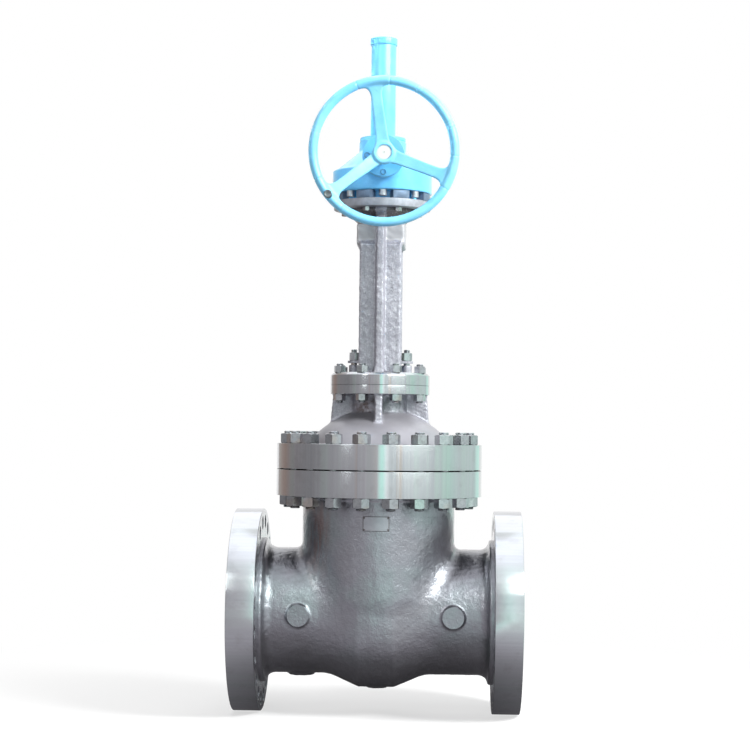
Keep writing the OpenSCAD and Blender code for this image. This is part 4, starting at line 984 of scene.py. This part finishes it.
# ---------------------------------------------------------------- handwheel
def wheel_field(u, v, w):
    """The whole wheel in its own frame: u to the right, v up, w towards whoever turns it."""
    around = np.hypot(u, v)
    rim = np.hypot(around - RIM_R, w - WHEEL_OUT) - RIM_HALF_T + 0.2
    # the spokes and the webs that spread into the rim are one flat, dished sheet
    sheet = RIM_R - 13.5 - around
    for angle in SPOKES:
        along = u * math.cos(angle) + v * math.sin(angle)
        across = v * math.cos(angle) - u * math.sin(angle)
        bar = np.maximum(np.abs(across) - SPOKE_HALF_W + 2.5 * eased(along, 60, 180), 15 - along)
        sheet = joined(sheet, bar, 46)
    sheet = np.maximum(sheet, around - RIM_R)
    middle = DISH_OUT + (WHEEL_OUT - DISH_OUT) * np.clip((around - HUB_WHEEL_R) / (RIM_R - HUB_WHEEL_R), 0, 1)
    wheel = joined(rim, common(sheet, np.abs(w - middle) - SPOKE_HALF_T, 5), 9)
    hub = common(around - HUB_WHEEL_R, slab(w, HUB_BACK, HUB_FRONT), 5)
    wheel = joined(wheel, hub, 9)
    # finger grips pressed into the rim, and the seams where the tube is welded to the cast pieces
    angle = np.arctan2(v, u)
    marks = [(grip + step, 1.3, 2.6) for grip in GRIPS for step in (-2.6, 0, 2.6)]
    marks += [(seam, 2.2, 1.8) for seam in SEAMS]
    for degrees, deep, wide in marks:
        away = np.abs((angle - math.radians(degrees) + math.pi) % TURN - math.pi) * RIM_R
        wheel = wheel + deep * np.exp(-(away / wide) ** 2) * (around > 240)
    wheel = np.maximum(wheel, SHAFT_R + 0.3 - around)
    at_seat = np.hypot(u - RIM_R * math.cos(SEAT_ANGLE), v - RIM_R * math.sin(SEAT_ANGLE))
    return np.maximum(wheel, -np.maximum(at_seat - SEAT_R, SEAT_OUT - w))


def make_wheel():
    """The handwheel, its shaft and the steel socket for the spinner, which turn together."""
    wheel = piece("handwheel_casting", skin(wheel_field, (-284, -284, 288), (284, 284, 392), 2.7), LIT_WHEEL_BLUE,
                  ALONG_SHAFT, CAST_EDGE)
    finished(wheel, "blue_paint", "wheel_spider", "wheel_rim", body="handwheel")
    # a lathe's centre hole is left in the shaft's end
    front = HUB_FRONT - 3
    shaft = turned([(0, SHAFT_BACK), (SHAFT_R, SHAFT_BACK), (SHAFT_R, front - 2), (SHAFT_R - 2, front), (3, front),
                    (1.5, front - 3), (0, front - 4)], 64)
    finished(piece("operator_shaft", shaft, BRIGHT_STEEL, ALONG_SHAFT), "machined_steel", "input_shaft",
             body="handwheel")
    points, faces = socket_screw(head_r=15, shank_r=13, head_h=16, key_r=8)
    seat = [(x, y, max(z, -6)) for x, y, z in points], faces
    place = ALONG_SHAFT @ Matrix.Rotation(SEAT_ANGLE, 4, "Z") @ Matrix.Translation((RIM_R, 0, SEAT_OUT))
    finished(piece("spinner_seat", seat, DULL_SCREW_STEEL, place), "machined_steel", "spinner_socket",
             body="handwheel")


# ---------------------------------------------------------------- stem, gland, fasteners and plate
def make_stem():
    """A rising stem: plain in the gland, with a trapezoid thread above it."""
    pitch, depth, steps = 10.0, 4.0, 48
    levels = [STEM_LOW, STEM_LOW + 2, 600, STEM_THREAD_LOW - 6,
              *np.arange(STEM_THREAD_LOW, STEM_TOP - 4, pitch / 10), STEM_TOP - 4, STEM_TOP - 1]
    rings = []
    for z in levels:
        phase = ((z - STEM_THREAD_LOW) / pitch - np.arange(steps) / steps) % 1
        groove = 1 - np.clip((np.abs(phase - 0.5) - 0.13) / 0.12, 0, 1)
        begun = min(max((z - STEM_THREAD_LOW) / 12, 0), 1)
        at_end = z in (levels[0], levels[-1])
        rings.append(ring(STEM_R - 3 if at_end else STEM_R - depth * groove * begun, z, steps))
    finished(piece("rising_stem", stacked(rings), STEM_STEEL, AT_STEM, sharp_deg=28), "stem_steel", "stem")


def make_gland():
    """The gland's flange, an oval plate with rounded ears, and its two studs and nuts."""
    outline = []
    for side in (1, -1):
        for t in np.linspace(-math.pi / 2, math.pi / 2, 17):
            outline.append((side * (GLAND_X + GLAND_EAR_R * math.cos(t)), side * GLAND_EAR_R * math.sin(t)))
        for t in np.linspace(0.36, math.pi - 0.36, 21):
            outline.append((side * GLAND_WELL_R * math.cos(t), side * GLAND_WELL_R * math.sin(t)))
    angles = [math.atan2(y, x) for x, y in outline]
    hole = [(GLAND_BORE_R * math.cos(a), GLAND_BORE_R * math.sin(a)) for a in angles]
    low, high = GLAND_TOP - GLAND_T, GLAND_TOP
    rings = [raised(hole, low), raised(outline, low + 1), raised(outline, high - 1.2), raised(hole, high)]
    plate = piece("gland_plate", stacked(rings, holed=True), SILVER_CAST, AT_STEM, sharp_deg=30)
    finished(plate, "cast_upper", "gland_flange")

    stud = stud_shape(GLAND_STUD_R, GLAND_STUD_LOW, GLAND_TOP + GLAND_NUT_H + GLAND_STUD_OUT)
    studs = several(moved(stud, Matrix.Translation((x, 0, 0))) for x in (-GLAND_X, GLAND_X))
    finished(piece("gland_stud_pair", studs, NUT_STEEL, AT_STEM), "bolting", "gland_studs")
    nut = nut_shape(GLAND_NUT_AF, GLAND_NUT_H, GLAND_STUD_R + 0.2)
    nuts = several(
        moved(nut, Matrix.Translation((x, 0, GLAND_TOP)) @ Matrix.Rotation(turn, 4, "Z"))
        for x, turn in ((-GLAND_X, 0.2), (GLAND_X, 0.6))
    )
    finished(piece("gland_nut_pair", nuts, NUT_STEEL, AT_STEM), "bolting", "gland_nuts")


def make_fasteners():
    """The studs and nuts of the body joint and of the yoke."""
    for joint, count, circle_r, stud_r, across, height, out, low, high, seed in (
        ("joint", JOINT_STUDS, JOINT_STUD_CIRCLE_R, JOINT_STUD_R, JOINT_NUT_AF, JOINT_NUT_H, JOINT_STUD_OUT,
         JOINT_LOW, BONNET_FLANGE_TOP, 11),
        ("yoke", YOKE_STUDS, YOKE_STUD_CIRCLE_R, YOKE_STUD_R, YOKE_NUT_AF, YOKE_NUT_H, YOKE_STUD_OUT,
         BONNET_TOP, YOKE_FOOT_TOP, 23),
    ):
        circle = (count, circle_r, half_step(count))
        stud = stud_shape(stud_r, low - height - out, high + height + out)
        finished(bolt_circle(joint + "_stud_set", stud, AT_STEM, NUT_STEEL, *circle), "bolting", joint + "_studs")
        nut = nut_shape(across, height, stud_r + 0.2)
        for level, z, lot in (("upper", high, 0), ("lower", low - height, 1)):
            nuts = bolt_circle(f"{joint}_{level}_nut_set", nut, AT_STEM @ along_z(z), NUT_STEEL, *circle,
                               chance_deg=30, seed=seed + lot)
            finished(nuts, "bolting", f"{joint}_{level}_nuts")


def make_name_plate():
    """A blank plate on the neck, painted over with the body, with a rivet in each corner."""
    half_w, low, high, thick, border, bevel = 50, 324, 380, 3, 2.6, 1.2
    columns = [-half_w, *np.linspace(border - half_w, half_w - border, 13), half_w]
    rows = [low, low + border, high - border, high]
    wide, tall = len(columns), len(rows)
    sheet = wide * tall
    points, faces, picks = [], [], []
    for depth, narrower in ((0.3, 0), (thick, bevel)):
        for z in rows:
            for t in columns:
                angle = math.asin(t * (1 - narrower / half_w) / NECK_R) - math.pi / 2
                height = z + (narrower if z == low else -narrower if z == high else 0)
                points.append(((NECK_R + depth) * math.cos(angle), (NECK_R + depth) * math.sin(angle), height))
    for first, order in ((0, -1), (sheet, 1)):
        for j in range(tall - 1):
            for i in range(wide - 1):
                a = first + j * wide + i
                faces.append([a, a + 1, a + wide + 1, a + wide][::order])
                picks.append(int(j in (0, tall - 2) or i in (0, wide - 2)))
    edge = [(j, 0) for j in range(tall)] + [(tall - 1, i) for i in range(1, wide)]
    edge += [(j, wide - 1) for j in range(tall - 2, -1, -1)] + [(0, i) for i in range(wide - 2, 0, -1)]
    edge = [j * wide + i for j, i in edge]
    faces += [[b, b + sheet, a + sheet, a] for a, b in zip(edge, edge[1:] + edge[:1])]

    rivet = turned([(0, -1), (3.6, -1), (3.4, 0.8), (2.2, 1.9), (0, 2.3)], 14)
    shapes = [(points, faces)]
    for t in (-half_w + 6, half_w - 6):
        for z in (low + 6, high - 6):
            about_neck = Matrix.Rotation(math.asin(t / NECK_R) - math.pi / 2, 4, "Z")
            outward = Matrix.Translation((NECK_R + thick, 0, z)) @ Matrix.Rotation(math.pi / 2, 4, "Y")
            shapes.append(moved(rivet, about_neck @ outward))
    points, faces = several(shapes)
    # the border, the edge and the rivets are dark, a painted shadow round the plate's outline
    picks += [1] * (len(faces) - len(picks))
    plate = piece("blank_plate", (points, faces), [PLATE_STEEL, SHADE_SKIN], AT_STEM, sharp_deg=30, picks=picks)
    finished(plate, "plate", "name_plate")


make_body()
make_side_bosses()
make_pipe_flange("inlet_end_flange", "inlet_flange", -1)
make_pipe_flange("outlet_end_flange", "outlet_flange", 1)
painted_gap_shade(ring_flange("body_joint_flange", "body_flange", JOINT_STEEL, JOINT_R, BODY_HOLE_R, JOINT_LOW, JOINT_SEAM),
          JOINT_SEAM)
painted_gap_shade(ring_flange("bonnet_joint_flange", "bonnet_flange", JOINT_STEEL, JOINT_R, BONNET_HOLE_R, BONNET_LOW,
                      BONNET_FLANGE_TOP), BONNET_LOW)
make_bonnet()
ring_flange("bonnet_top_flange", "bonnet_casting", JOINT_STEEL, YOKE_R, STEM_HOLE_R, BONNET_TOP, YOKE_LOW - 0.4)
ring_flange("yoke_foot_flange", "yoke_casting", JOINT_STEEL, YOKE_R, GLAND_WELL_R, YOKE_LOW, YOKE_FOOT_TOP, chamfer=10)
make_yoke()
ring_flange("yoke_top_flange", "yoke_casting", FLANGE_STEEL, YOKE_TOP_R, STEM_HOLE_R, YOKE_TOP_LOW, YOKE_TOP)
make_gear_operator()
make_mounting()
make_wheel()
make_stem()
make_gland()
make_fasteners()
make_name_plate()

for name, material in {
    "inlet_seat_ring": BRIGHT_STEEL, "outlet_seat_ring": BRIGHT_STEEL, "gate_wedge": BRIGHT_STEEL,
    "bonnet_gasket": GRAPHITE, "packing_rings": GRAPHITE, "gland_follower": BLUE_SHADED_BLOCK_STEEL, "yoke_sleeve": BRONZE,
}.items():
    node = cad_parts[name]
    node.data.materials.clear()
    node.data.materials.append(material)


# ---------------------------------------------------------------- studio, in metres
FLOOR = cad_box[0][2]
# the tent goes this far round to either side of the front, in degrees
TENT_HALF = 150


def shown_white(tree):
    """1 for what the camera, mirrors and glass see, and 0 for light that falls on things."""
    ray = add(tree, "ShaderNodeLightPath").outputs
    seen = add(tree, "ShaderNodeMath", {0: ray["Is Camera Ray"], 1: ray["Is Glossy Ray"]}, operation="MAXIMUM")
    return add(tree, "ShaderNodeMath", {0: seen, 1: ray["Is Transmission Ray"]}, operation="MAXIMUM")


def sheet_of(name, points, faces, material):
    """A sheet of the studio, from points in metres."""
    mesh = bpy.data.meshes.new(name)
    mesh.from_pydata(points, [], faces)
    mesh.materials.append(material)
    sheet = in_scene(name, mesh)
    return sheet


def make_floor():
    """A plain pale floor. The camera and mirrors see it white, with the valve's shadow on it, and it throws only a
    mid grey light back on the valve."""
    material, tree, where = new_material("studio_floor")
    seen = shown_white(tree)
    from_valve = add(tree, "ShaderNodeVectorMath", {0: where, 1: (STEM_X * MM, 0, FLOOR)}, operation="DISTANCE")
    far = add(tree, "ShaderNodeMapRange", {"Value": from_valve, "From Min": 0.7, "From Max": 2.6},
              interpolation_type="SMOOTHSTEP")
    matt = add(tree, "ShaderNodeBsdfDiffuse", {"Color": laid_over(tree, linear("#7C7C7E"), "#9A9A9A", seen)})
    lit = add(tree, "ShaderNodeEmission", {"Color": linear("#FFFFFF"), "Strength": 0.62})
    near = add(tree, "ShaderNodeAddShader", {0: matt, 1: lit})
    near = add(tree, "ShaderNodeMixShader", {0: seen, 1: matt, 2: near})
    white = add(tree, "ShaderNodeEmission", {"Color": linear("#FFFFFF"), "Strength": 1.0})
    away = add(tree, "ShaderNodeMath", {0: far, 1: seen}, operation="MULTIPLY")
    mixed = add(tree, "ShaderNodeMixShader", {0: away, 1: near, 2: white})
    add(tree, "ShaderNodeOutputMaterial", {"Surface": mixed})
    size = 60
    corners = [(-size, -size, FLOOR), (size, -size, FLOOR), (size, size, FLOOR), (-size, size, FLOOR)]
    sheet_of("floor", corners, [(0, 1, 2, 3)], material)


def make_world():
    """Soft light from all round, behind white."""
    world = bpy.data.worlds.new("studio")
    bpy.context.scene.world = world
    world.use_nodes = True
    tree = world.node_tree
    tree.nodes.clear()
    soft = add(tree, "ShaderNodeBackground", {"Color": linear("#FFFFFF"), "Strength": 0.22})
    white = add(tree, "ShaderNodeBackground", {"Color": linear("#FFFFFF"), "Strength": 1.0})
    mixed = add(tree, "ShaderNodeMixShader", {0: shown_white(tree), 1: soft, 2: white})
    add(tree, "ShaderNodeOutputWorld", {"Surface": mixed})


def reflected(name, points, faces, material):
    """A cloth or a window in front of the valve that only its reflections see."""
    sheet = sheet_of(name, points, faces, material)
    sheet.visible_camera = sheet.visible_diffuse = sheet.visible_shadow = sheet.visible_transmission = False


def glowing(name, colour, strength):
    """A material that glows evenly."""
    material, tree, _ = new_material(name)
    glow = add(tree, "ShaderNodeEmission", {"Color": linear(colour), "Strength": strength})
    add(tree, "ShaderNodeOutputMaterial", {"Surface": glow})
    return material


def arc_point(radius, degrees, z):
    """A point on a circle round the stem, at an angle to the right of the front."""
    angle = math.radians(degrees)
    return STEM_X * MM + radius * math.sin(angle), -radius * math.cos(angle), z


def tent_cloth():
    """The tent's cloth, whose brightness goes by the direction from the middle of the valve."""
    material, tree, where = new_material("tent_cloth")
    split = add(tree, "ShaderNodeSeparateXYZ", {"Vector": where}).outputs
    x = add(tree, "ShaderNodeMath", {0: split["X"], 1: STEM_X * MM}, operation="SUBTRACT")
    y = add(tree, "ShaderNodeMath", {0: split["Y"], 1: -1.0}, operation="MULTIPLY")
    z = add(tree, "ShaderNodeMath", {0: split["Z"], 1: 0.3}, operation="SUBTRACT")
    angle = add(tree, "ShaderNodeMath", {0: x, 1: y}, operation="ARCTAN2")
    flat = add(tree, "ShaderNodeCombineXYZ", {"X": x, "Y": y})
    reach = add(tree, "ShaderNodeVectorMath", {0: flat}, operation="LENGTH")
    rise = add(tree, "ShaderNodeMath", {0: z, 1: reach}, operation="ARCTAN2")
    share = add(tree, "ShaderNodeMapRange", {
        "Value": angle, "From Min": math.radians(-TENT_HALF), "From Max": math.radians(TENT_HALF),
    })
    height = add(tree, "ShaderNodeMapRange", {"Value": rise, "From Min": -math.pi / 2, "From Max": math.pi / 2})
    # degrees to the right of the front, and degrees up
    round_it = [
        (-150, "#8F8C8A"), (-136, "#877C77"), (-126, "#80726B"), (-112, "#747072"), (-80, "#747476"),
        (-45, "#8A8A8D"), (-20, "#959598"), (-4, "#9B999D"), (0.5, "#AB9C9F"), (1.5, "#BEE4DC"), (7, "#B6E0D6"),
        (9, "#F2F8F8"), (13, "#BCC4C4"), (34, "#BFC7C7"), (66, "#B4BDBD"), (86, "#AEC4BE"), (104, "#B2BABB"),
        (132, "#B0BFBC"), (142, "#B6D8CE"), (150, "#B6D8CE"),
    ]
    up_it = [(-90, 0.1), (-62, 0.15), (-40, 0.5), (-14, 0.9), (0, 1.0)]
    tone = add(tree, "ShaderNodeValToRGB", {"Fac": share}, [
        ((degrees + TENT_HALF) / (2 * TENT_HALF), colour) for degrees, colour in round_it])
    dimmed = add(tree, "ShaderNodeValToRGB", {"Fac": height}, [
        ((degrees + 90) / 180, grey) for degrees, grey in up_it])
    # the ground is dark close under the valve, in its own shade, and behind it
    ground = add(tree, "ShaderNodeMapRange", {
        "Value": rise, "From Min": math.radians(-12), "From Max": math.radians(-40),
    })
    front = add(tree, "ShaderNodeMapRange", {
        "Value": y, "From Min": 0.05, "From Max": 0.8, "To Min": 0.35, "To Max": 1.0,
    })
    # 6 and 7 are the two colours of a mix
    shade = add(tree, "ShaderNodeMix", {0: 1.0, 6: linear("#B4B2B8"), 7: front}, data_type="RGBA",
                blend_type="MULTIPLY")
    tone = add(tree, "ShaderNodeMix", {0: ground, 6: tone, 7: shade}, data_type="RGBA")
    tone = add(tree, "ShaderNodeMix", {0: 1.0, 6: tone, 7: dimmed}, data_type="RGBA", blend_type="MULTIPLY")
    overhead = add(tree, "ShaderNodeMapRange", {
        "Value": rise, "From Min": math.radians(29), "From Max": math.radians(78),
    }, interpolation_type="SMOOTHSTEP")
    tone = laid_over(tree, tone, "#F6FAFF", overhead)
    glow = add(tree, "ShaderNodeEmission", {"Color": tone, "Strength": 1.7})
    add(tree, "ShaderNodeOutputMaterial", {"Surface": glow})
    return material


def make_tent():
    """A tent of cloth round the studio, open at the back. It is dark on the ground, grey to the left, pale to the
    right and bright overhead, so turned steel gets its upright bands and the flanges' rims go from white above to
    grey below. Three windows put the gloss on the painted casting, and a panel above whitens what faces up."""
    cloth, steps, foot = tent_cloth(), 72, FLOOR + 0.004
    wall = [(9.0, foot), (9.0, 4.0), (8.0, 9.0), (5.0, 12.0), (0.001, 13.0)]
    ground = [(0.001, foot), (0.5, foot), (2.0, foot), (9.0, foot)]
    for name, half, profile in (("tent_wall", TENT_HALF, wall), ("tent_ground", 180, ground)):
        points = [arc_point(r, degrees, z) for degrees in np.linspace(-half, half, steps) for r, z in profile]
        wide = len(profile)
        faces = [(wide * i + k, wide * (i + 1) + k, wide * (i + 1) + k + 1, wide * i + k + 1)
                 for i in range(steps - 1) for k in range(wide - 1)]
        reflected(name, points, faces, cloth)
    for name, left, right, low, high, strength in (
        ("right_window", 20, 64, 3.5, 6.8, 11.0), ("front_window", 9, 15, 3.5, 6.8, 2.5),
        ("left_window", -40, -30, 3.2, 6.6, 7.0),
    ):
        points = [arc_point(7.6, a, z) for a, z in ((left, low), (right, low), (right, high), (left, high))]
        reflected(name, points, [(0, 1, 2, 3)], glowing(name, "#F6FFFC", strength))
    panel = [(-7, 2.6, 9.2), (8, 2.6, 9.2), (8, 15, 9.2), (-7, 15, 9.2)]
    reflected("roof_panel", panel, [(0, 1, 2, 3)], glowing("roof_panel", "#FAFCFF", 1.6))


def soft_light(name, place, aim, size, power, spread_deg=180):
    """A rectangular lamp that reflections don't see."""
    data = bpy.data.lights.new(name, "AREA")
    data.shape, data.energy, data.spread = "RECTANGLE", power, math.radians(spread_deg)
    data.size, data.size_y = size
    lamp = in_scene(name, data)
    turn = (Vector(aim) - Vector(place)).to_track_quat("-Z", "Y")
    lamp.matrix_world = Matrix.Translation(place) @ turn.to_matrix().to_4x4()
    lamp.visible_glossy = False


def make_studio():
    make_floor()
    make_world()
    make_tent()
    middle = (STEM_X * MM, 0, 0.9)
    soft_light("key", (6.4, -3.2, 5.0), middle, (2.6, 2.6), 1180)
    soft_light("fill", (-3.4, -5.6, 2.4), middle, (3.0, 3.0), 105)
    soft_light("high_left", (-4.2, -1.5, 3.3), (STEM_X * MM, 0, 2.1), (0.5, 0.5), 2.2, spread_deg=14)
    soft_light("back", (0.4, 5.4, 4.8), middle, (4.0, 3.0), 160)
    soft_light("overhead", (0.56, -0.6, 7.6), middle, (5.0, 5.0), 240)


def make_camera():
    """Level camera at bonnet height, a little to the right of the stem, with a long lens."""
    data = bpy.data.cameras.new("camera")
    data.sensor_width, data.lens, data.shift_y = 36.0, 89.6, 0.0736
    camera = in_scene("camera", data)
    yaw, roll, sideways, away, height = math.radians(2.0), 0.0115, -0.018, 7.270, 0.7025
    about_stem = Matrix.Translation((STEM_X * MM, 0, 0)) @ Matrix.Rotation(yaw, 4, "Z")
    upright = Matrix.Rotation(math.pi / 2, 4, "X") @ Matrix.Rotation(roll, 4, "Z")
    camera.matrix_world = about_stem @ Matrix.Translation((sideways, -away, height)) @ upright
    bpy.context.scene.camera = camera


make_studio()
make_camera()
bpy.context.scene.view_settings.view_transform = "Standard"
